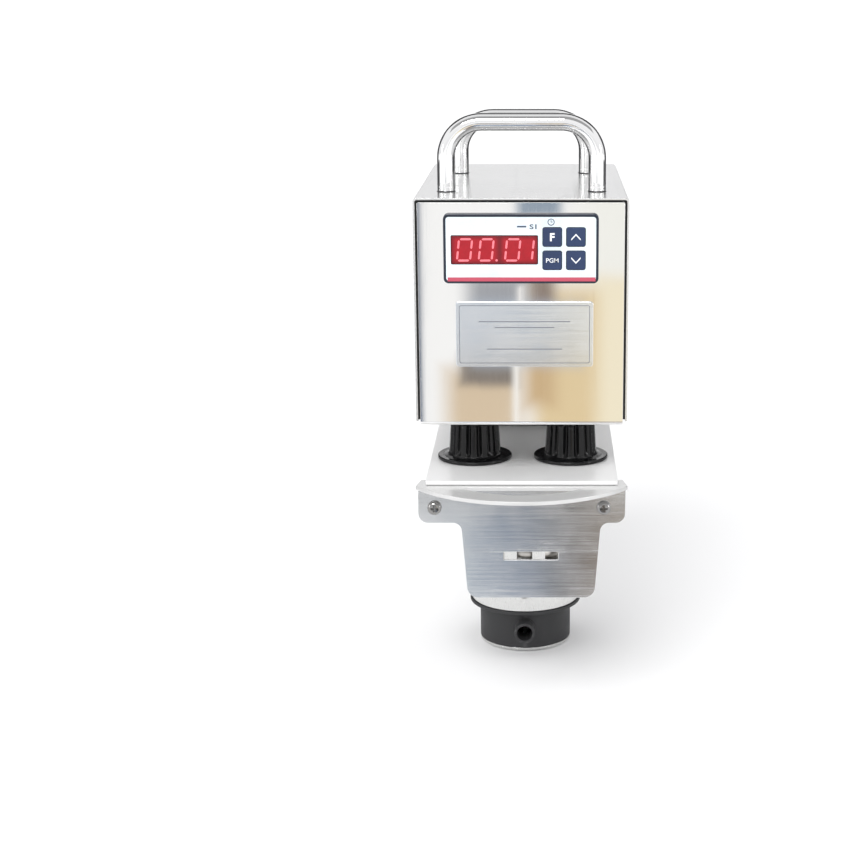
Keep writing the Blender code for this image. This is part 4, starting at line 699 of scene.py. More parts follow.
# ---------------------------------------------------------------- places and sizes

COVER_LOW, COVER_HIGH = span("cover")
CHASSIS_LOW, CHASSIS_HIGH = span("chassis")
FRONT, BACK = CHASSIS_LOW[1], CHASSIS_HIGH[1]
BOTTOM, PANEL_TOP, TOP = CHASSIS_LOW[2], CHASSIS_HIGH[2], COVER_HIGH[2]
SHEET = 1.0
SHEET_EDGE = 0.14
FOLD = 2.2
GAP = 0.3
SCREW_HOLE = 2.2
KNOB_HOLE = 4.3
INK = 0.03
INK_EDGE = 0.01
PUMP_AXIS = middle("pump_tube")
PUMP_HOLE = 16.0
BEZEL_LOW, BEZEL_HIGH = span("controller_bezel")
FACE_LOW, FACE_HIGH = span("controller_face")
WINDOW_LOW, WINDOW_HIGH = span("display_window")
KEYS = ("key_function", "key_up", "key_program", "key_down")
HOOK_LOW, HOOK_HIGH = span("hook_plate")
INLET_LOW, INLET_HIGH = span("mains_inlet")
SWITCH_LOW, SWITCH_HIGH = span("switch_frame")
FUSE_LOW, FUSE_HIGH = span("fuse_holder")
SHELF_LOW, SHELF_HIGH = span("shelf")


def rows_of(profile, step):
    """The profile with its long sides divided, so that no side is longer than a step."""
    profile = np.asarray(profile, float)
    out = [profile[:1]]
    for start, end in zip(profile[:-1], profile[1:]):
        parts = max(1, math.ceil(np.linalg.norm(end - start) / step))
        out.append(start + (end - start) * (np.arange(1, parts + 1) / parts)[:, None])
    return np.concatenate(out)


# ---------------------------------------------------------------- head


def make_chassis():
    """Panel, floor and rear wall: one flat pattern with its holes, folded twice. Along the pattern, a
    height on the panel is counted down from its top, a depth on the floor from the first fold, and a height
    on the wall from the second fold.
    """
    half = CHASSIS_HIGH[0]
    height, depth = PANEL_TOP - BOTTOM, BACK - FRONT
    arc = FOLD * math.pi / 2
    floor_start = height - FOLD + arc
    wall_start = floor_start + depth - 2 * FOLD + arc
    length = wall_start + height - FOLD
    on_panel = lambda z: PANEL_TOP - z
    on_floor = lambda y: floor_start + y - FRONT - FOLD
    on_wall = lambda z: wall_start + z - BOTTOM - FOLD
    case_low, case_high = span("controller_case")
    inlet, fuse, switch = middle("mains_inlet"), middle("fuse_holder"), middle("switch_frame")
    outline = rounded([(0, -half, 0.6), (length, -half, 0.6), (length, half, 0.6), (0, half, 0.6)], 3)
    opening = case_high - case_low + 2 * GAP
    lip = 4.0
    holes = [
        rectangle(on_panel((case_low + case_high)[2] / 2), 0, opening[2], opening[0], 0.6, 3),
        circle(on_floor(PUMP_AXIS[1]), 0, PUMP_HOLE, 64),
        rectangle(on_wall(inlet[2]), inlet[0], (INLET_HIGH - INLET_LOW)[2] - lip + 2 * GAP,
                  (INLET_HIGH - INLET_LOW)[0] - lip + 2 * GAP, 0.8, 3),
        rectangle(on_wall(switch[2]), switch[0], (SWITCH_HIGH - SWITCH_LOW)[2] - lip + 2 * GAP,
                  (SWITCH_HIGH - SWITCH_LOW)[0] - lip + 2 * GAP, 0.8, 3),
        circle(on_wall(fuse[2]), fuse[0], (FUSE_HIGH - FUSE_LOW)[0] / 2 - lip / 2 + GAP, 40),
    ]
    vents, vent_width, vent_length, vent_drop, vent_end = 7, 3.0, 40.0, 12.0, 1.45
    for index in range(vents):
        place = on_wall(PANEL_TOP - vent_drop - 2 * vent_width * index)
        holes.append(rectangle(place, 0, vent_width, vent_length, vent_end, 5))
    flat = slab([outline, *holes], 0, SHEET, SHEET_EDGE)
    corners = [(FRONT, PANEL_TOP), (FRONT, BOTTOM), (BACK, BOTTOM), (BACK, PANEL_TOP)]
    points, faces = folded(flat, corners, FOLD)
    piece("chassis_sheet", (aimed(points, "X"), faces), PANEL_STEEL, "chassis")


def make_gap_shade_strip():
    """The near-black strip behind the panel's edge that closes the gap to the cover and stands in for the
    shade in that gap: a band along the cover's inside.
    """
    room, width, behind, thick = 0.06, 2.4, 0.1, 2.0
    half, top, low = COVER_HIGH[0] - SHEET - room, TOP - SHEET - room, COVER_LOW[2] + 1
    outer_corner = FOLD - SHEET
    outline = rounded([
        (-half, low, 0), (-half + width, low, 0), (-half + width, top - width, 0.5),
        (half - width, top - width, 0.5), (half - width, low, 0), (half, low, 0), (half, top, outer_corner),
        (-half, top, outer_corner),
    ])
    start = FRONT + SHEET + behind
    strip = slab([outline], start, start + thick, 0.2, "Y")
    piece("panel_gap_shade", strip, GAP_SHADE_BLACK, "chassis")


def handle_feet():
    """Where the handles' four feet stand, as (x, y)."""
    feet = []
    for node in ("handle_front", "handle_rear"):
        low, high = span(node)
        radius = (high - low)[1] / 2
        feet += [(low[0] + radius, (low + high)[1] / 2), (high[0] - radius, (low + high)[1] / 2)]
    return feet


def make_cover():
    """The cover: one flat pattern with a hole for each handle stud, folded twice over the chassis."""
    side, low = COVER_HIGH[0], COVER_LOW[2]
    front, back = COVER_LOW[1], COVER_HIGH[1]
    rise = TOP - low
    arc = FOLD * math.pi / 2
    top_start = rise - FOLD + arc
    length = 2 * (rise - FOLD) + 2 * arc + 2 * side - 2 * FOLD
    outline = rounded([(0, front, 0.8), (length, front, 0.8), (length, back, 0.8), (0, back, 0.8)], 3)
    bore = 2.8
    holes = [circle(top_start + side - FOLD - x, y, bore, 32) for x, y in handle_feet()]
    flat = slab([outline, *holes], 0, SHEET, SHEET_EDGE)
    corners = [(side, low), (side, TOP), (-side, TOP), (-side, low)]
    points, faces = folded(flat, corners, FOLD)
    piece("cover_sheet", (aimed(points, "Y"), faces), COVER_STEEL, "cover")


def make_handle(node):
    """A bent tube with a stud under each foot, and a thin dark ring under each foot that paints the
    contact shade where the foot meets the cover.

    The line runs up the left stud and leg, round two quarter bends, and down the right leg and stud.
    """
    low, high = span(node)
    radius = (high - low)[1] / 2
    bend = 18.0
    half, y = high[0] - radius, (low + high)[1] / 2
    bar = high[2] - radius
    left = arc_between((-half + bend, bar - bend), bend, 180, 90, 16)
    right = arc_between((half - bend, bar - bend), bend, 90, 0, 16)
    flat = np.concatenate([[(-half, low[2])], left, right, [(half, low[2])]])
    path = rows_of(np.column_stack([flat[:, 0], np.full(len(flat), y), flat[:, 1]]), 4)
    stud = 2.5
    foot = TOP + GAP - low[2]
    groove, soft, half_groove, groove_depth, tip = 2.4, 0.35, 0.12, 0.16, 0.4
    ends = [
        (0.0, stud - tip), (tip, stud), (foot - 0.01, stud), (foot, radius - soft),
        (foot + soft / 3, radius - 0.1), (foot + soft, radius), (foot + groove, radius),
        (foot + groove + half_groove, radius - groove_depth), (foot + groove + 2 * half_groove, radius),
    ]
    radii = ends + [(-where if where else -1e-6, size) for where, size in ends[::-1]]
    piece(f"{node}_tube", rod(path, (0, 1, 0), radii, 40), CHROME, node)
    # Thin dark rings at the feet: painted contact shade where each foot stands on the cover.
    under, over, hole = TOP + 0.04, TOP + 0.26, stud + 0.4
    profile = [(hole, under), (radius + 0.35, under), (radius + 0.2, over), (hole, over)]
    rings = [turned(profile, (x, y, 0), count=48, ring=True) for x in (-half, half)]
    piece(f"{node}_foot_shade_rings", rings, MATT_BLACK, node)


def make_nameplate():
    """A blank plate with soft edges, a pressed border line and three plain rules across it."""
    low, high = span("nameplate")
    centre, size = (low + high) / 2, high - low
    outline = rectangle(centre[0], centre[2], size[0], size[2], 1.5)
    piece("nameplate_sheet", slab([outline], low[1], high[1], 0.22, "Y"), PLATE_STEEL, "nameplate")
    margin, line, proud, thick = 1.7, 0.32, 0.05, 0.45
    outer = rectangle(centre[0], centre[2], size[0] - 2 * margin, size[2] - 2 * margin, 1.0)
    inner_margin = margin + line
    inner = rectangle(centre[0], centre[2], size[0] - 2 * inner_margin, size[2] - 2 * inner_margin, 0.8)
    layer = (low[1] - proud, low[1] + proud, 0.02, "Y")
    marks = [slab([outer, inner], *layer)]
    for rise, width in ((6.5, 46.0), (3.5, 30.0), (-7.5, 38.0)):
        marks.append(slab([rectangle(centre[0], centre[2] + rise, width, thick, 0.2)], *layer))
    piece("nameplate_rules", marks, RULE_INK, "nameplate")


# ---------------------------------------------------------------- controller


def window_outline():
    """The window's opening in the bezel and the face."""
    centre, size = (WINDOW_LOW + WINDOW_HIGH) / 2, WINDOW_HIGH - WINDOW_LOW
    return rectangle(centre[0], centre[2], size[0] + 2 * GAP, size[2] + 2 * GAP, 0.7)


def key_holes():
    """The keys' openings in the bezel and the face."""
    outlines = []
    for node in KEYS:
        low, high = span(node)
        centre, size = (low + high) / 2, high - low + 2 * GAP
        outlines.append(rectangle(centre[0], centre[2], size[0], size[2], 1.2))
    return outlines


def make_controller():
    """The bezel with its raised rim, and the pale face sheet in it with its printed marks."""
    centre, size = (BEZEL_LOW + BEZEL_HIGH) / 2, BEZEL_HIGH - BEZEL_LOW
    rim, floor = 1.0, BEZEL_LOW[1] + 0.6
    outer = rectangle(centre[0], centre[2], size[0], size[2], 2.5, 8)
    recess = rectangle(centre[0], centre[2], size[0] - 2 * rim, size[2] - 2 * rim, 1.8, 8)
    base = sheet([outer, window_outline(), *key_holes()], edge_rings(floor, BEZEL_HIGH[1], 0, 0.15), "Y")
    frame_rim = sheet([outer, recess], edge_rings(BEZEL_LOW[1], floor, 0.28, 0), "Y")
    piece("bezel_frame", [base, frame_rim], NAVY, "controller_bezel")
    middle_of_face, face_size = (FACE_LOW + FACE_HIGH) / 2, FACE_HIGH - FACE_LOW
    outline = rectangle(middle_of_face[0], middle_of_face[2], face_size[0], face_size[2], 1.5, 8)
    face = slab([outline, window_outline(), *key_holes()], FACE_LOW[1], FACE_HIGH[1], 0.06, "Y")
    piece("face_sheet", face, FACE_SHEET, "controller_face")
    make_face_marks()


def make_face_marks():
    """The printed marks of the face: a stripe, a channel label, a clock sign and a dash."""
    front = FACE_LOW[1]
    layer = (front - INK, front + INK, INK_EDGE, "Y")
    stripe_middle, stripe_width = TOP - 39.9, 2.0
    left, right = FACE_LOW[0] + 0.7, FACE_HIGH[0] - 0.2
    stripe = rectangle((left + right) / 2, stripe_middle, right - left, stripe_width)
    piece("face_stripe", slab([stripe], *layer), PINK_INK, "controller_face")
    hub, radius, line = np.array([14.9, TOP - 11.4]), 1.75, 0.42
    half, upright, level = 0.15, 1.1, 0.85
    hands = hub + np.array([
        (-half, upright), (-half, -half), (level, -half), (level, half), (half, half), (half, upright)])
    clock = slab([circle(*hub, radius), circle(*hub, radius - line)], *layer)
    label, height, width = TOP - 13.7, 3.3, 3.5
    dash = slab([rectangle(0.35, TOP - 13.65, 4.7, 0.85, 0.3)], *layer)
    letters = lettering("S1", height, (6.0, front, label), 2 * INK, width, 0.028)
    marks = [clock, slab([hands], *layer), dash, letters]
    piece("face_marks", marks, DARK_INK, "controller_face")


def make_window():
    """The lit window and its four figures, each of seven slanted bars."""
    centre, size = (WINDOW_LOW + WINDOW_HIGH) / 2, WINDOW_HIGH - WINDOW_LOW
    pane = rectangle(centre[0], centre[2], size[0], size[2], 0.6)
    half, dark_gap = (size[0] / 2 * MM, size[2] / 2 * MM), -10.6
    finish = lit_pane("red_window", (centre[0] * MM, centre[2] * MM), half, dark_gap * MM)
    piece("window_pane", slab([pane], WINDOW_LOW[1], WINDOW_HIGH[1], 0.1, "Y"), finish, "display_window")
    low, high = TOP - 31.0, TOP - 19.4
    figures = (("abcdef", -31.7, -24.2), ("abcdef", -20.9, -13.5), ("abcdef", -7.9, -0.3), ("bc", 0.4, 6.4))
    bars = []
    for lit_bars, left, right in figures:
        bars += figure_bars(lit_bars, left, right, low, high)
    dot_x, dot_radius, proud = -12.1, 0.6, 0.05
    bars.append(circle(dot_x, low + dot_radius, dot_radius, 20))
    layer = (WINDOW_LOW[1] - proud, WINDOW_LOW[1] + proud, INK_EDGE, "Y")
    piece("window_figures", [slab([bar], *layer) for bar in bars], DIGIT_LIGHT, "display_window")


def figure_bars(lit_bars, left, right, low, high):
    """The lit bars of one figure, as outlines. Each bar is a long hexagon between two of the figure's six
    corner points, and the whole leans to the right by the tangent of 6 degrees.
    """
    half, gap, lean = 0.5, 0.45, math.tan(math.radians(6))
    mid = (low + high) / 2
    near, far, foot, head = left + half, right - half, low + half, high - half
    ends = {
        "a": ((near, head), (far, head)), "b": ((far, head), (far, mid)), "c": ((far, mid), (far, foot)),
        "d": ((near, foot), (far, foot)), "e": ((near, mid), (near, foot)), "f": ((near, head), (near, mid)),
        "g": ((near, mid), (far, mid)),
    }
    outlines = []
    for name in lit_bars:
        start, end = np.array(ends[name])
        way = (end - start) / np.linalg.norm(end - start)
        across = np.array([-way[1], way[0]]) * half
        start, end = start + way * gap, end - way * gap
        tip = way * half
        outline = np.array([start, start + tip + across, end - tip + across, end, end - tip - across,
                            start + tip - across])
        outline[:, 0] += (outline[:, 1] - mid) * lean
        outlines.append(outline)
    return outlines


def make_keys():
    """Four keys with soft edges and slightly raised tops, each with its white sign."""
    for node in KEYS:
        low, high = span(node)
        x, z = (low + high)[0] / 2, (low + high)[2] / 2
        outline = rectangle(x, z, high[0] - low[0], high[2] - low[2], 1.0)
        piece(f"{node}_cap", slab([outline], low[1], high[1], 0.3, "Y", 5), KEY_NAVY, node)
        if node == "key_function":
            sign = lettering("F", 5.4, (x, low[1], z), 2 * INK, bold=0.035)
        elif node == "key_program":
            sign = lettering("PGM", 3.1, (x, low[1], z), 2 * INK, 6.2, 0.012)
        else:
            up = 1 if node == "key_up" else -1
            reach, rise, thick = 2.3, 1.25, 0.85
            chevron = np.array([
                (x - reach, z - up * rise), (x, z + up * rise), (x + reach, z - up * rise),
                (x + reach, z - up * (rise + thick)), (x, z + up * (rise - thick)),
                (x - reach, z - up * (rise + thick)),
            ]) + np.array([0, up * thick / 2])
            sign = slab([chevron], low[1] - INK, low[1] + INK, INK_EDGE, "Y")
        piece(f"{node}_sign", sign, WHITE_INK, node)


# ---------------------------------------------------------------- rear fittings


def make_inlet():
    """The mains inlet: a flange with a keyed mouth, the socket's walls and floor, and three flat pins."""
    x, z = (INLET_LOW + INLET_HIGH)[0] / 2, (INLET_LOW + INLET_HIGH)[2] / 2
    width, height = INLET_HIGH[0] - INLET_LOW[0], INLET_HIGH[2] - INLET_LOW[2]
    seat, floor = BACK + GAP, INLET_LOW[1] + 3
    lip, chamfer, corner = 2.0, 4.0, 1.0
    wide, tall = 12.0, 8.0
    mouth = rounded([
        (x - wide, z - tall, corner), (x + wide, z - tall, corner), (x + wide, z + tall - chamfer, corner),
        (x + wide - chamfer, z + tall, corner), (x - wide + chamfer, z + tall, corner),
        (x - wide, z + tall - chamfer, corner),
    ], 4)
    flange = rectangle(x, z, width, height, 2.0)
    body = rectangle(x, z, width - 2 * lip, height - 2 * lip, 0.6)
    shapes = [
        sheet([flange, mouth], edge_rings(seat, INLET_HIGH[1], 0.1, 0.6, 5), "Y"),
        sheet([body, mouth], edge_rings(floor, seat, 0, 0), "Y"),
        slab([body], INLET_LOW[1], floor, 0.1, "Y"),
    ]
    piece("inlet_socket", shapes, MATT_BLACK, "mains_inlet")
    pins, pin_width, pin_height, pin_end = [], 2.0, 4.0, BACK - 2
    for side, rise in ((-7.0, -1.0), (0.0, 2.5), (7.0, -1.0)):
        outline = rectangle(x + side, z + rise, pin_width, pin_height, 0.3)
        pins.append(slab([outline], floor, pin_end, 0.3, "Y"))
    piece("inlet_pins", pins, CHROME, "mains_inlet")


def make_fuse():
    """The fuse holder: a barrel, and a cap with a fine grip round its side and a slot across its face. The
    cap's outline has the radius less a share of one plus the cosine of many times the angle.
    """
    x, z = (FUSE_LOW + FUSE_HIGH)[0] / 2, (FUSE_LOW + FUSE_HIGH)[2] / 2
    radius = (FUSE_HIGH - FUSE_LOW)[0] / 2
    seat, face = BACK + GAP, FUSE_HIGH[1]
    ribs, rib_half = 36, 0.14
    angle = np.arange(8 * ribs) / (8 * ribs) * TAU
    size = radius - rib_half * (1 + np.cos(ribs * angle))
    grip = np.stack([x + size * np.cos(angle), z + size * np.sin(angle)], 1)
    slot = rectangle(x, z, 8.0, 1.2, 0.2)
    deep = 1.0
    bore, end, chamfer = radius - 2.0, FUSE_LOW[1], 0.3
    barrel = [(0, end), (bore - chamfer, end), (bore, end + chamfer), (bore, seat), (0, seat)]
    shapes = [
        sheet([grip, slot], edge_rings(face - deep, face, 0, 0.35), "Y"),
        sheet([grip], edge_rings(seat, face - deep, 0.1, 0), "Y"),
        turned(barrel, (x, 0, z), "Y", 48),
    ]
    piece("fuse_cap", shapes, MATT_BLACK, "fuse_holder")


def make_switch():
    """The switch's frame with its well, and the rocker with its two faces and signs."""
    x, z = (SWITCH_LOW + SWITCH_HIGH)[0] / 2, (SWITCH_LOW + SWITCH_HIGH)[2] / 2
    width, height = SWITCH_HIGH[0] - SWITCH_LOW[0], SWITCH_HIGH[2] - SWITCH_LOW[2]
    seat, floor = BACK + GAP, BACK - 7.0
    lip, wall = 2.0, 2.0
    frame_outline = rectangle(x, z, width, height, 1.5)
    body = rectangle(x, z, width - 2 * lip, height - 2 * lip, 0.4)
    well = rectangle(x, z, width - 2 * lip - 2 * wall, height - 2 * lip - 2 * wall, 0.3)
    shapes = [
        sheet([frame_outline, well], edge_rings(seat, SWITCH_HIGH[1], 0.1, 0.5, 5), "Y"),
        sheet([body, well], edge_rings(floor, seat, 0, 0), "Y"),
        slab([body], SWITCH_LOW[1], floor, 0.1, "Y"),
    ]
    piece("switch_well", shapes, MATT_BLACK, "switch_frame")
    half, crest, dip, root, reach = 7.4, 4.0, 2.4, 2.0, 4.2
    profile = rounded([
        (-root, -half, 0.3), (crest, -half, 0.8), (dip, 0, 6.0), (crest, half, 0.8), (-root, half, 0.3),
        (-2 * root, 0, 1.0),
    ], 6)
    rocker = slab([profile], -reach, reach, 0.35, "X", 4)
    face = lambda up: (crest - dip) / half * abs(up) + dip
    away, proud = 4.4, 0.04
    bar_sign = [rectangle(0, 0, 0.5, 2.6, 0.1)]
    ring_sign = [circle(0, 0, 1.4, 32), circle(0, 0, 1.0, 32)]
    signs = []
    for up, sign in ((away, bar_sign), (-away, ring_sign)):
        points, faces = slab(sign, -proud, proud, INK_EDGE, "Y")
        slope = math.copysign(math.atan((crest - dip) / half), up)
        points = points @ np.array(Matrix.Rotation(slope, 3, "X")) + np.array([0, face(up), up])
        signs.append((points, faces))
    tilt = np.array(Matrix.Rotation(math.radians(-7), 3, "X")).T
    place = np.array([x, BACK, z])
    signs = [(points @ tilt + place, faces) for points, faces in signs]
    piece("rocker_body", (rocker[0] @ tilt + place, rocker[1]), GLOSS_BLACK, "switch_rocker")
    piece("rocker_signs", signs, WHITE_INK, "switch_rocker")


# ---------------------------------------------------------------- shelf, clamp and bracket


def make_neck():
    """The hollow column between the shelf and the head."""
    low, high = span("neck")
    centre, size, wall, corner = (low + high) / 2, high - low, 2.5, 6.0
    outer = rectangle(centre[0], centre[1], size[0], size[1], corner, 10)
    inner = rectangle(centre[0], centre[1], size[0] - 2 * wall, size[1] - 2 * wall, corner - wall, 10)
    piece("neck_column", slab([outer, inner], low[2], high[2], 0.4), MATT_BLACK, "neck")


def make_shelf():
    """The shelf plate with its holes, and the pad under it that follows the pot's rim."""
    low, high = SHELF_LOW, SHELF_HIGH
    front_corner, rear_corner = 1.0, 4.0
    outline = rounded([
        (low[0], low[1], front_corner), (high[0], low[1], front_corner), (high[0], high[1], rear_corner),
        (low[0], high[1], rear_corner),
    ])
    holes = [circle(PUMP_AXIS[0], PUMP_AXIS[1], PUMP_HOLE, 64)]
    for node in ("clamp_knob_1", "clamp_knob_2"):
        x, y, _ = middle(node)
        holes.append(circle(x, y, KNOB_HOLE, 32))
    piece("shelf_plate", slab([outline, *holes], low[2], high[2], 0.22), SHELF_STEEL, "shelf")
    low, high = span("rim_pad")
    rim_middle, inward, outward = 142.3, 1.3, 6.7
    outside, inside = rim_middle + outward, rim_middle - inward
    reach = math.degrees(math.asin((high[0] - low[0]) / 2 / outside)) - 0.02
    outer = arc_between((0, rim_middle), outside, -90 - reach, -90 + reach, 48)
    inner = arc_between((0, rim_middle), inside, -90 + reach, -90 - reach, 48)
    rings = edge_rings(low[2], high[2], 0.3, 0.3)
    piece("rim_pad_strip", sheet([np.concatenate([outer, inner])], rings), SILICONE, "rim_pad")


def make_knob(node):
    """A fluted knob with a dished skirt.

    The profile is turned round the knob's axis. On the grip each radius loses a flute's depth times a
    rounded valley: the cosine of 14 times the angle, raised a little, cut off at nought and smoothed. The
    flutes fade out into the skirt and towards the middle of the top.
    """
    low, high = span(node)
    x, y, _ = (low + high) / 2
    base, skirt = low[2], (high - low)[0] / 2
    height = high[2] - base
    bore, core, grip, grip_top, dish, flat = KNOB_HOLE, 17.3, 13.9, 12.7, 2.4, 3.0
    brim, dimple_rim, dimple, dimple_depth = 1.8, 9.4, 8.2, 0.6
    corners = [
        (0, core, 0), (bore, core, 0), (bore, 0, 0.3), (skirt, 0, 0.35), (skirt, brim, 0.6),
        (skirt - flat, brim - 0.2, 1.2), (grip, dish, 0.9), (grip_top, height, 1.3),
        (dimple_rim, height, 0.8), (dimple, height - dimple_depth, 1.0), (0, height - dimple_depth, 0),
    ]
    profile = rows_of(rounded(corners, 5), 1.1)
    flutes, deep, raised = 14, 2.1, 0.25
    fade_up, fade_from, fade_out = 2.2, 8.6, 3.2

    def fluted(angle, radius, rise):
        """The radius with the flutes taken off."""
        wave = np.cos(flutes * (angle + math.pi / 2 + math.pi / flutes))
        valley = np.clip((wave + raised) / (1 + raised), 0, 1) ** 1.3
        amount = np.clip((rise - dish) / fade_up, 0, 1) * np.clip((radius - fade_from) / fade_out, 0, 1)
        amount = amount * amount * (3 - 2 * amount)
        return radius - deep * amount * valley

    surface = turned(profile, (x, y, base), count=flutes * 20, wave=fluted)
    piece(f"{node}_grip", surface, GLOSS_BLACK, node)


def make_cam(index):
    """The eccentric cam: a spindle with its collar, and a disc set off its axis, with a ribbed tyre round
    it.
    """
    knob = middle(f"clamp_knob_{index}")
    tyre_low, tyre_high = span(f"clamp_tyre_{index}")
    tyre = (tyre_low + tyre_high) / 2
    low, high = span(f"clamp_cam_{index}")
    outer = (tyre_high - tyre_low)[0] / 2
    disc, thick, spindle, collar = outer - 1.8, 10.0, 4.0, 7.0
    bottom = low[2]
    soft = 0.5
    plate_profile = rounded([
        (0, bottom, 0), (disc, bottom, soft), (disc, bottom + thick, soft), (0, bottom + thick, 0),
    ], 4)
    shaft = rounded([
        (0, bottom + 1, 0), (spindle, bottom + 1, 0), (spindle, bottom + thick - 1, 0),
        (collar, bottom + thick - 1, 0), (collar, SHELF_LOW[2] - GAP, 0.4),
        (spindle, SHELF_LOW[2] - GAP, 0.2), (spindle, high[2], 0.4), (0, high[2], 0),
    ], 4)
    shapes = [turned(plate_profile, (tyre[0], tyre[1], 0), count=72),
              turned(shaft, (knob[0], knob[1], 0), count=48)]
    piece(f"clamp_cam_{index}_body", shapes, ROUGH_STEEL, f"clamp_cam_{index}")
    inner = disc + GAP
    foot, head = tyre_low[2], tyre_high[2]
    ribs, count, margin, deep = [], 5, 0.4, 0.25
    pitch = (head - foot - 2 * margin) / count
    for rib in range(count):
        start = foot + margin + pitch * rib
        ribs += [(outer - deep, start), (outer, start + 0.3 * pitch), (outer, start + 0.7 * pitch),
                 (outer - deep, start + pitch)]
    profile = [(inner, foot + 0.2), (inner + 0.2, foot), (outer - 0.3, foot), *ribs, (outer - 0.3, head),
               (inner + 0.2, head), (inner, head - 0.2)]
    ring = turned(profile, (tyre[0], tyre[1], 0), count=96, ring=True)
    piece(f"clamp_tyre_{index}_ring", ring, SILICONE, f"clamp_tyre_{index}")


def make_flange():
    """The D-shaped plate in front of the shelf, with its crescent hole. Both arcs go through their two
    corners and their foremost point: the radius is half the chord squared, plus the depth squared, over
    twice the depth.
    """
    low, high = span("front_flange")
    half, hook = high[0], HOOK_LOW[1]
    reach = hook - low[1]
    radius = (half ** 2 + reach ** 2) / (2 * reach)
    swing = math.degrees(math.asin(half / radius))
    outer = arc_between((0, low[1] + radius), radius, -90 - swing, -90 + swing, 72)
    narrows, band, step, chord = 2.0, 12.2, 2.5, 32.0
    outline = np.concatenate([outer, [(half - narrows, high[1]), (narrows - half, high[1])]])
    depth = reach - band - step
    edge = hook - step
    inner_radius = (chord ** 2 + depth ** 2) / (2 * depth)
    sweep = math.degrees(math.asin(chord / inner_radius))
    crescent = arc_between((0, edge - depth + inner_radius), inner_radius, -90 - sweep, -90 + sweep, 60)
    crescent = crescent[::-1]
    corner = 0.6
    left, right = crescent[-1], crescent[0]
    crescent = np.concatenate([crescent[1:-1], [left + (corner * 0.4, -corner * 0.5), left + (corner, 0)],
                               [right - (corner, 0), right + (-corner * 0.4, -corner * 0.5)]])
    piece("flange_plate", slab([outline, crescent], low[2], high[2], 0.3), FLANGE_STEEL, "front_flange")


def make_hook_plate():
    """The plate under the flange: two wings, and a tongue with its slot."""
    low, high = HOOK_LOW, HOOK_HIGH
    wing, tip, side = high[2] - 17.5, low[2], high[0]
    left, right, taper, corner, fillet, wing_corner = -31.2, 40.6, 3.2, 6.0, 4.5, 5.0
    outline = rounded([
        (-side, high[2], 0), (-side, wing, wing_corner), (left, wing, fillet), (left + taper, tip, corner),
        (right - taper, tip, corner), (right, wing, fillet), (side, wing, wing_corner), (side, high[2], 0),
    ], 10)
    slot_drop, slot_width, slot_height = 35.2, 28.4, 4.4
    holes = [rectangle((left + right) / 2, high[2] - slot_drop, slot_width, slot_height, 0.6)]
    for node in ("bracket_screw_1", "bracket_screw_2"):
        x, _, z = middle(node)
        holes.append(circle(x, z, SCREW_HOLE, 24))
    piece("hook_sheet", slab([outline, *holes], low[1], high[1], 0.18, "Y"), HOOK_STEEL, "hook_plate")


def make_bracket(index):
    """A folded tab with a weld nut behind a wing, and the cross-head screw through the wing into it.

    The screw's head is a domed sheet with a cross-shaped hole over a solid base, so that the cross has a
    floor.
    """
    low, high = span(f"bracket_tab_{index}")
    x, _, z = middle(f"bracket_screw_{index}")
    thick, bend, reach, drop = 1.2, 1.6, 9.0, 15.0
    back = low[1]
    arc = bend * math.pi / 2
    down_start = reach - bend + arc
    length = down_start + drop - bend
    half = (high - low)[0] / 2
    corner = 1.2
    outline = rounded([(0, x - half, corner), (length, x - half, corner), (length, x + half, corner),
                       (0, x + half, corner)], 4)
    hole = circle(down_start + high[2] - bend - z, x, SCREW_HOLE, 24)
    flat = slab([outline, hole], 0, thick, 0.12)
    corners = [(back + reach, high[2]), (back, high[2]), (back, high[2] - drop)]
    points, faces = folded(flat, corners, bend)
    nut_radius, nut_end = 3.6, 4.0
    hexagon = rounded([(*corner, 0.25) for corner in circle(x, z, nut_radius, 6)], 3)
    nut = slab([hexagon, circle(x, z, SCREW_HOLE, 24)], back + thick, back + nut_end, 0.25, "Y")
    tab = (aimed(points, "X"), faces)
    piece(f"bracket_tab_{index}_fold", [tab, nut], ROUGH_STEEL, f"bracket_tab_{index}")
    seat, head, dome, floor = HOOK_LOW[1] - GAP, 3.6, 2.2, 0.9
    long, narrow = 1.85, 0.42
    cross = np.array([
        (-long, -narrow), (-narrow, -narrow), (-narrow, -long), (narrow, -long), (narrow, -narrow),
        (long, -narrow), (long, narrow), (narrow, narrow), (narrow, long), (-narrow, long), (-narrow, narrow),
        (-long, narrow),
    ]) + np.array([x, z])
    share = np.linspace(0, 1, 7)
    rise = np.column_stack([1.4 * share ** 1.7 + 0.05, seat - floor - (dome - floor) * share ** 0.8])
    wall = np.array([(0.0, seat - floor), (0.0, seat - dome + 0.12), (0.06, seat - dome)])
    top = sheet([circle(x, z, head, 48), cross], [rise, wall], "Y")
    thread, turns, pitch, core, crest, tip = [], 9, 0.8, 1.6, 1.9, seat + 8.0
    for turn in range(turns):
        start = seat + 0.4 + pitch * turn
        thread += [(core, start), (crest, start + pitch * 0.45), (crest, start + pitch * 0.55)]
    profile = [(0, seat - floor), (head - 0.05, seat - floor), (head, seat - 0.5), (head, seat - 0.1),
               (head - 0.1, seat), (crest, seat), *thread, (core - 0.3, tip), (0, tip)]
    base = turned(profile, (x, 0, z), "Y", 48)
    piece(f"bracket_screw_{index}_head", [top, base], SCREW_STEEL, f"bracket_screw_{index}", crease=40)


# ---------------------------------------------------------------- immersed pieces


def make_ring(node, name, corners, finish):
    """A ring turned round the pump's axis from (radius, height, round) corners."""
    ring = turned(rounded(corners, 4), (PUMP_AXIS[0], PUMP_AXIS[1], 0), count=96, ring=True)
    piece(name, ring, finish, node)


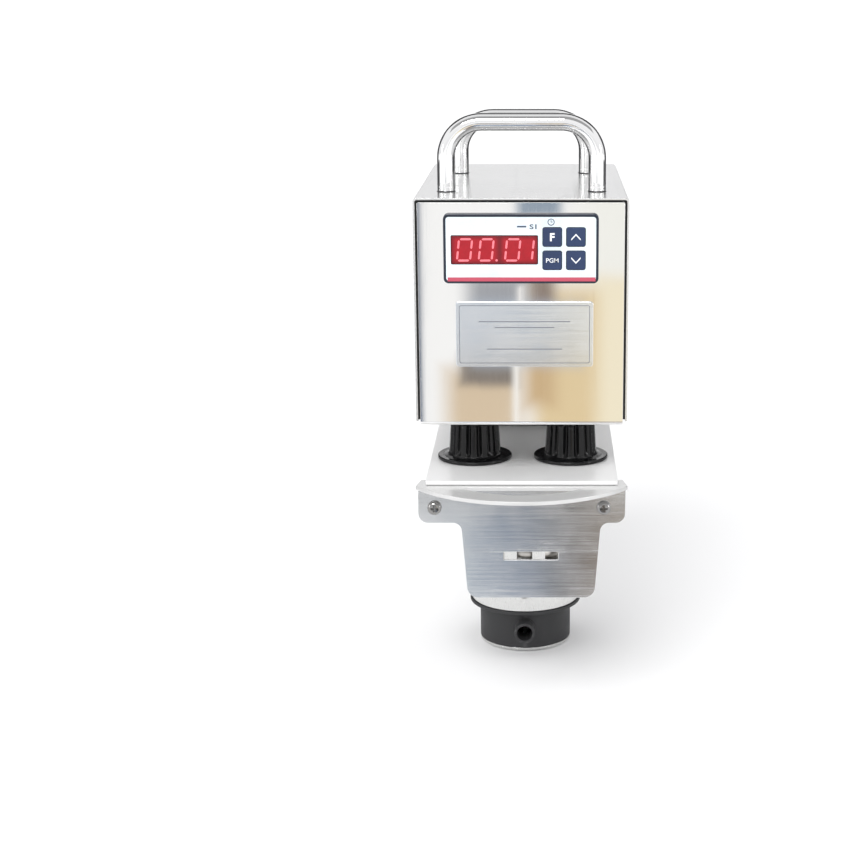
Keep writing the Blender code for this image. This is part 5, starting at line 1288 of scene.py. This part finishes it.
def make_pump():
    """Base flange, pump tube, housing with its roof, wall and nozzle, and the slotted grille under it.

    The housing's wall is a flat strip with the nozzle's hole in it, rolled about the pump's axis.
    """
    shaft_hole = 4.0
    low, high = span("base_flange")
    radius = (high - low)[0] / 2
    make_ring("base_flange", "base_disc", [
        (shaft_hole, low[2], 0.2), (radius, low[2], 0.6), (radius, high[2], 0.3), (shaft_hole, high[2], 0.2)],
        FOOD_STEEL)
    low, high = span("pump_tube")
    radius = (high - low)[0] / 2
    make_ring("pump_tube", "pump_pipe", [
        (radius - 2, low[2], 0.2), (radius, low[2], 0.3), (radius, high[2], 0.3), (radius - 2, high[2], 0.2)],
        FOOD_STEEL)
    low, high = span("pump_housing")
    rim = (high - low)[0] / 2
    outer, wall, lip = 27.0, 3.0, 2.0
    x, y, _ = PUMP_AXIS
    inside = outer - wall
    roof = turned(rounded([
        (shaft_hole, high[2], 0.2), (rim, high[2], 0.5), (rim, high[2] - lip, 0.5),
        (inside, high[2] - lip, 0), (inside, high[2] - wall, 0), (shaft_hole, high[2] - wall, 0.2)], 4),
        (x, y, 0), count=96, ring=True)
    length = TAU * outer
    seam = 0.04
    strip_low, strip_high = low[2], high[2] - lip
    nozzle, bore = 6.0, 4.5
    nozzle_z = (low[2] + high[2]) / 2
    outline = rectangle(length / 2, (strip_low + strip_high) / 2, length - seam, strip_high - strip_low)
    strip = slab([outline, circle(length / 2, nozzle_z, bore, 48)], 0, wall, 0.1)
    root = y - inside - 0.6
    side = turned(rounded([
        (bore, low[1], 0.3), (nozzle, low[1], 0.5), (nozzle, root, 0), (bore, root, 0)], 4),
        (x, 0, nozzle_z), "Y", 64, ring=True)
    shell = rolled(strip, outer, length, (x, y), -90 - 180)
    piece("pump_shell", [roof, shell, side], MATT_BLACK, "pump_housing")
    low, high = span("inlet_grille")
    radius = (high - low)[0] / 2
    bars, pitch, slot = 5, 8.0, 3.0
    slots = []
    for index in range(bars):
        across = pitch * (index - (bars - 1) / 2)
        reach = 2 * math.sqrt(inside ** 2 - across ** 2) * 0.75
        slots.append(rectangle(x + across, y, slot, reach, 1.45, 6))
    disc = slab([circle(x, y, radius, 120), *slots], low[2], high[2], 0.2)
    piece("grille_disc", disc, FOOD_STEEL, "inlet_grille")


def rolled(strip, radius, length, centre, start, step=4.0):
    """A flat strip rolled into a ring: its length over the radius is the angle, and its depth goes inwards.
    """
    points, faces = scored(strip, np.arange(0, length, radius * math.radians(step))[1:])
    angle = points[:, 0] / radius + math.radians(start)
    out = radius - points[:, 2]
    across, along_y = centre[0] + out * np.cos(angle), centre[1] + out * np.sin(angle)
    return np.column_stack([across, along_y, points[:, 1]]), faces


def make_guard():
    """The heater's sleeve: a flat strip with twelve slots, rolled, with a fine seam at its back."""
    low, high = span("heater_guard")
    radius, wall = 32.0, 1.0
    length = TAU * radius
    count, width, room = 12, 9.0, 8.0
    centre_z = (low[2] + high[2]) / 2
    outline = rectangle(length / 2, centre_z, length - 0.16, high[2] - low[2])
    slots = [rectangle(length * (index + 0.5) / count, centre_z, width, high[2] - low[2] - 2 * room, 4.4, 8)
             for index in range(count)]
    strip = slab([outline, *slots], 0, wall, 0.12)
    piece("guard_sleeve", rolled(strip, radius, length, PUMP_AXIS[:2], -15), GUARD_STEEL, "heater_guard")


def heater_route():
    """The heater's line about the pump's axis: down, round the turns, in to the pump tube and up again."""
    top = span("heater_coil")[1][2]
    big, small, bend, first, turns, pitch = 24.0, 15.375, 8.0, 54.0, 4, 11.0
    inward = math.radians(60)
    spot = lambda radius, angle, height: np.stack(np.broadcast_arrays(
        radius * np.cos(angle), radius * np.sin(angle), height), -1)
    quarter = np.linspace(0, math.pi / 2, 10)
    down = spot(big, np.zeros(6), np.linspace(top, bend - first, 7)[:6])
    into = spot(big, bend * (1 - np.cos(quarter)) / big, bend - first - bend * np.sin(quarter))
    start = bend / big
    share = np.linspace(0, 1, 64 * turns + 1)[1:]
    round_turns = spot(big, start + TAU * turns * share, -first - pitch * turns * share)
    bottom, end = -first - pitch * turns, start + TAU * turns
    share = np.linspace(0, 1, 14)[1:]
    across = spot(big + (small - big) * share, end + inward * share, np.full(13, bottom))
    end += inward
    up = spot(small, end + bend * np.sin(quarter[1:]) / small, bottom + bend * (1 - np.cos(quarter[1:])))
    rise = spot(small, np.full(9, end + bend / small), np.linspace(bottom + bend, top, 10)[1:])
    return np.concatenate([down, into, round_turns, across, up, rise]) + np.array([*PUMP_AXIS[:2], 0])


def make_heater():
    """The tubular heater: a round bar along its line, held square to the pump's axis."""
    route = heater_route()
    smooth = route.copy()
    smooth[1:-1] = (route[:-2] + 2 * route[1:-1] + route[2:]) / 4
    outward = route - np.array([*PUMP_AXIS[:2], 0])
    outward[:, 2] = 0
    wire = 3.25
    radii = [(0.0, wire), (-1e-6, wire)]
    piece("heater_bar", rod(smooth, outward, radii, 24), COIL_STEEL, "heater_coil")


def make_probe_and_float():
    """The temperature probe with its collar, the float's stem with its stop, and the float."""
    low, high = span("probe")
    x, y, _ = (low + high) / 2
    radius = (high - low)[0] / 2
    profile = rounded([
        (0, low[2], 0), (radius, low[2], radius * 0.95), (radius, high[2], 0.2), (0, high[2], 0)], 8)
    piece("probe_sheath", turned(profile, (x, y, 0), count=40), FOOD_STEEL, "probe")
    low, high = span("float_stem")
    x, y, _ = (low + high) / 2
    stem, stop, tall = 2.0, (high - low)[0] / 2, 2.0
    profile = rounded([
        (0, low[2], 0), (stop, low[2], 0.4), (stop, low[2] + tall, 0.4), (stem, low[2] + tall, 0.2),
        (stem, high[2], 0.2), (0, high[2], 0)], 4)
    piece("float_rod", turned(profile, (x, y, 0), count=40), FOOD_STEEL, "float_stem")
    low, high = span("level_float")
    radius, bore = (high - low)[0] / 2, 2.3
    groove = (low[2] + high[2]) / 2
    profile = rounded([
        (bore, low[2], 0.3), (radius, low[2], 1.5), (radius, groove - 0.3, 0.1), (radius - 0.25, groove, 0.1),
        (radius, groove + 0.3, 0.1), (radius, high[2], 1.5), (bore, high[2], 0.3)], 5)
    piece("float_body", turned(profile, (x, y, 0), count=64, ring=True), WHITE_PLASTIC, "level_float")


def paint_inner_pieces():
    """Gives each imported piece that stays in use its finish."""
    finishes = {
        ROUGH_STEEL: "handle_nut_1 handle_nut_2 handle_nut_3 handle_nut_4 "
                     "motor_case drive_shaft shaft_coupling",
        MATT_BLACK: "display_module controller_case terminal_block cooling_fan impeller",
        BOARD_GREEN: "controller_board power_board",
        IRON: "transformer",
        WHITE_PLASTIC: "relay",
        COVER_STEEL: "motor_mount",
    }
    for finish, nodes in finishes.items():
        for node in nodes.split():
            repaint(node, finish)


# ---------------------------------------------------------------- camera, floor and light

# From here on, lengths are metres, except those on a face in mirror_card.
FLOOR_Z = -0.1335
CARD_LIFT = 0.003
CAMERA_PLACE = (0.0119, -0.8892, 0.2487)
CAMERA_DROP = 14.16


def make_camera():
    """The camera: a little above the head and in front of it, looking down."""
    data = bpy.data.cameras.new("camera")
    data.lens = 73.6
    data.sensor_width = 36
    data.shift_x = -0.1308
    data.clip_start = 0.01
    data.clip_end = 200
    camera = bpy.data.objects.new("camera", data)
    camera.location = CAMERA_PLACE
    camera.rotation_euler = (math.radians(90 - CAMERA_DROP), 0, 0)
    bpy.context.scene.collection.objects.link(camera)
    bpy.context.scene.camera = camera


def stage_mesh(name, points, material):
    """A flat four-cornered sheet that is no part of the object."""
    mesh = bpy.data.meshes.new(name)
    mesh.from_pydata([tuple(point) for point in points], [], [tuple(range(len(points)))])
    obj = bpy.data.objects.new(name, mesh)
    mesh.materials.append(material)
    bpy.context.scene.collection.objects.link(obj)
    return obj


def glow(name, colour, strength=1.0):
    """A plain emission material."""
    material = bpy.data.materials.new(name)
    material.use_nodes = True
    tree = material.node_tree
    tree.nodes.clear()
    shine = tree.nodes.new("ShaderNodeEmission")
    shine.inputs["Color"].default_value = (*colour, 1.0)
    shine.inputs["Strength"].default_value = strength
    out = tree.nodes.new("ShaderNodeOutputMaterial")
    tree.links.new(shine.outputs["Emission"], out.inputs["Surface"])
    return material


def mirror_card(name, plane, left, right, low, high, base, patches, lift=0.004):
    """A floor card that fills the mirror image in an upright face, for the camera.

    Each point (x, z) of the face, in millimetres, is carried along the line from the mirrored camera
    through it down to the floor. The card's colour there is the base, replaced in turn by each patch (left,
    right, low, high, soft, colour) as far as the patch's smooth mask goes: a smooth step over the soft
    width at each of its four sides.
    """
    columns, rows = 90, 90
    x, z = np.meshgrid(np.linspace(left, right, columns), np.linspace(low, high, rows))
    mirrored = np.array([CAMERA_PLACE[0], 2 * plane * MM - CAMERA_PLACE[1], CAMERA_PLACE[2]])
    spot = np.stack([x * MM, np.full_like(x, plane * MM), z * MM], -1)
    share = (mirrored[2] - FLOOR_Z - lift) / (mirrored[2] - spot[..., 2])
    grid = mirrored + (spot - mirrored) * share[..., None]
    colour = np.ones((rows, columns, 3)) * linear(base)
    for patch_left, patch_right, patch_low, patch_high, soft, tint in patches:
        inside = np.minimum.reduce([x - patch_left, patch_right - x, z - patch_low, patch_high - z])
        mask = np.clip(inside / soft + 0.5, 0, 1)
        mask = (mask * mask * (3 - 2 * mask))[..., None]
        colour = colour * (1 - mask) + linear(tint) * mask
    points, faces = skin(grid)
    mesh = bpy.data.meshes.new(name)
    mesh.from_pydata(points.tolist(), [], faces)
    values = np.column_stack([colour.reshape(-1, 3), np.ones(rows * columns)])
    mesh.color_attributes.new("tint", "FLOAT_COLOR", "POINT").data.foreach_set("color", values.ravel())
    obj = bpy.data.objects.new(name, mesh)
    bpy.context.scene.collection.objects.link(obj)
    material = glow(name, (1, 1, 1))
    tree = material.node_tree
    tint = tree.nodes.new("ShaderNodeAttribute")
    tint.attribute_name = "tint"
    shine = next(node for node in tree.nodes if node.type == "EMISSION")
    tree.links.new(tint.outputs["Color"], shine.inputs["Color"])
    mesh.materials.append(material)
    only_in_mirrors(obj)
    return obj


def linear(colour):
    """Display values from 0 to 255 as light."""
    share = np.array(colour, float) / 255
    return np.where(share <= 0.04045, share / 12.92, ((share + 0.055) / 1.055) ** 2.4)


def only_in_mirrors(obj):
    """Leaves the object to reflections alone, as a part of the stage."""
    obj.visible_camera = False
    obj.visible_diffuse = False
    obj.visible_shadow = False
    obj.visible_transmission = False
    obj.visible_volume_scatter = False


def card(name, points, colour, strength=1.0):
    """A sheet that only shows in reflections."""
    obj = stage_mesh(name, points, glow(name, colour, strength))
    only_in_mirrors(obj)
    return obj


def floor_card(name, corners, colour):
    """A card on the floor, from its (x, y) corners."""
    card(name, [(x, y, FLOOR_Z + CARD_LIFT) for x, y in corners], colour)


def wall_card(name, start, end, low, high, colour, strength=1.0):
    """An upright card over the line between two (x, y) places."""
    card(name, [(*start, low), (*end, low), (*end, high), (*start, high)], colour, strength)


def make_stage():
    """The floor, the cards that the polished faces mirror, the sky and the sun."""
    floor = Finish("floor_white", (0.93, 0.93, 0.93), 0.6, Specular_IOR_Level=0.0)
    soft = floor.noise(3, (1, 1, 1), 2.0, 0.5)
    floor.paint(floor.colours(soft, (0.3, (0.925, 0.925, 0.925)), (0.7, (0.94, 0.94, 0.94))))
    size = 60.0
    corners = [(x, y, FLOOR_Z) for x, y in ((-size, -size), (size, -size), (size, size), (-size, size))]
    stage_mesh("floor", corners, floor.material)
    make_cards()
    make_sky()
    sun = bpy.data.lights.new("sun", "SUN")
    sun.energy = 1.5
    sun.angle = math.radians(28)
    lamp = bpy.data.objects.new("sun", sun)
    lamp.rotation_euler = (math.radians(50), 0, math.radians(-14))
    bpy.context.scene.collection.objects.link(lamp)


def make_cards():
    """The cards that only reflections see. On the floor: tinted ones for the panel and the hook plate, and
    darker ones at the rear and the sides for the handles' edges. Upright or overhead: dark screens at the
    rear, a dark card high behind and a grey one high in front for the handles' bars, and two bright strips
    for the knobs.
    """
    panel_patches = (
        (26, 80, 100, 160, 30, (247, 247, 241)),
        (6, 80, 10, 104, 16, (230, 208, 166)),
        (38, 80, 0, 108, 14, (247, 237, 210)),
        (2, 17, 42, 74, 13, (210, 182, 142)),
        (-38, 0, 20, 60, 16, (220, 200, 172)),
        (-31, -2, 52, 68, 7, (138, 130, 122)),
        (-27, 3, 84, 110, 14, (166, 168, 173)),
        (4, 17, 84, 110, 9, (148, 134, 124)),
        (-22, 28, 64, 94, 14, (186, 201, 218)),
        (-2, 20, 137, 160, 6, (150, 164, 178)),
        (-80, -49.9, 0, 160, 1.0, (52, 74, 106)),
        (-4.2, -1.2, 26, 80, 1.6, (255, 253, 248)),
        (-2.0, 0.8, 84, 104, 1.6, (255, 253, 250)),
    )
    mirror_card("panel_mirror_card", FRONT, -75, 75, 22, 158, (253, 253, 252), panel_patches)
    hook_patches = (
        (-80, -38, -80, 20, 10, (252, 253, 255)),
        (-22, 80, -80, 20, 34, (152, 164, 182)),
        (12, 80, -80, 20, 22, (132, 132, 132)),
        (30, 80, -80, 20, 12, (150, 136, 124)),
        (-80, 80, -6, 20, 3, (96, 98, 102)),
        (47, 80, -30, -7, 4, (190, 180, 168)),
    )
    mirror_card("hook_mirror_card", HOOK_LOW[1], -75, 75, -66, 6, (205, 215, 224), hook_patches, 0.008)
    for way in (-1, 1):
        rear = [(way * 0.12, 0.9), (way * 3.4, 0.9), (way * 4.4, 4.6), (way * 0.42, 4.6)]
        floor_card(f"rear_card_{way}", rear, (0.02, 0.02, 0.022))
        near = [(way * 0.1, 0.62), (way * 0.46, 0.62), (way * 0.46, 0.9), (way * 0.1, 0.9)]
        floor_card(f"near_card_{way}", near, (0.12, 0.12, 0.125))
        side = [(way * 0.46, 0.0), (way * 3.6, -0.2), (way * 3.6, 0.9), (way * 0.46, 0.9)]
        floor_card(f"side_card_{way}", side, (0.24, 0.24, 0.245))
        wall_card(f"rear_screen_{way}", (way * 0.34, 1.2), (way * 2.2, 0.7), 0.0, 1.1, (0.1, 0.1, 0.105))
        wall_card(f"bright_strip_{way}", (way, -0.62), (way, -0.5), 0.0, 0.4, (1, 1, 1), 9.0)
    wide = 0.9
    wall_card("high_card_behind", (-wide, 0.5), (wide, 0.5), 0.45, 1.2, (0.05, 0.05, 0.052))
    ahead = [(-wide, -0.6, 0.72), (wide, -0.6, 0.72), (wide, -0.15, 0.95), (-wide, -0.15, 0.95)]
    card("high_card_ahead", ahead, (0.36, 0.36, 0.365))


def make_sky():
    """A pale sky: its brightness is a curve of the height of the view, a little lower at the horizon and
    overhead.
    """
    world = bpy.data.worlds.new("sky")
    bpy.context.scene.world = world
    world.use_nodes = True
    tree = world.node_tree
    tree.nodes.clear()
    coordinates = tree.nodes.new("ShaderNodeTexCoord")
    split = tree.nodes.new("ShaderNodeSeparateXYZ")
    tree.links.new(coordinates.outputs["Generated"], split.inputs["Vector"])

    height = tree.nodes.new("ShaderNodeMapRange")
    tree.links.new(split.outputs["Z"], height.inputs["Value"])
    for socket, number in zip(RANGE_ENDS, (-1, 1, 0, 1)):
        height.inputs[socket].default_value = number
    ramp = tree.nodes.new("ShaderNodeValToRGB")
    stops = ((0.0, 0.85), (0.5, 0.85), (0.52, 0.85), (0.55, 0.9), (0.62, 0.95), (0.78, 0.95), (1.0, 0.8))
    while len(ramp.color_ramp.elements) < len(stops):
        ramp.color_ramp.elements.new(0.5)
    for element, (place, value) in zip(ramp.color_ramp.elements, stops):
        element.position = place
        element.color = (value, value, value * 1.01, 1.0)
    tree.links.new(height.outputs["Result"], ramp.inputs["Fac"])
    shine = tree.nodes.new("ShaderNodeBackground")
    out = tree.nodes.new("ShaderNodeOutputWorld")
    tree.links.new(ramp.outputs["Color"], shine.inputs["Color"])
    tree.links.new(shine.outputs["Background"], out.inputs["Surface"])


def main():
    """Makes the camera first, then every piece, and then the floor and the light."""
    make_camera()
    make_chassis()
    make_gap_shade_strip()
    make_cover()
    make_handle("handle_front")
    make_handle("handle_rear")
    make_nameplate()
    make_controller()
    make_window()
    make_keys()
    make_inlet()
    make_fuse()
    make_switch()
    make_neck()
    make_shelf()
    for index in (1, 2):
        make_knob(f"clamp_knob_{index}")
        make_cam(index)
        make_bracket(index)
    make_flange()
    make_hook_plate()
    make_pump()
    make_guard()
    make_heater()
    make_probe_and_float()
    paint_inner_pieces()
    make_stage()
    bpy.context.scene.view_settings.view_transform = "Standard"


main()
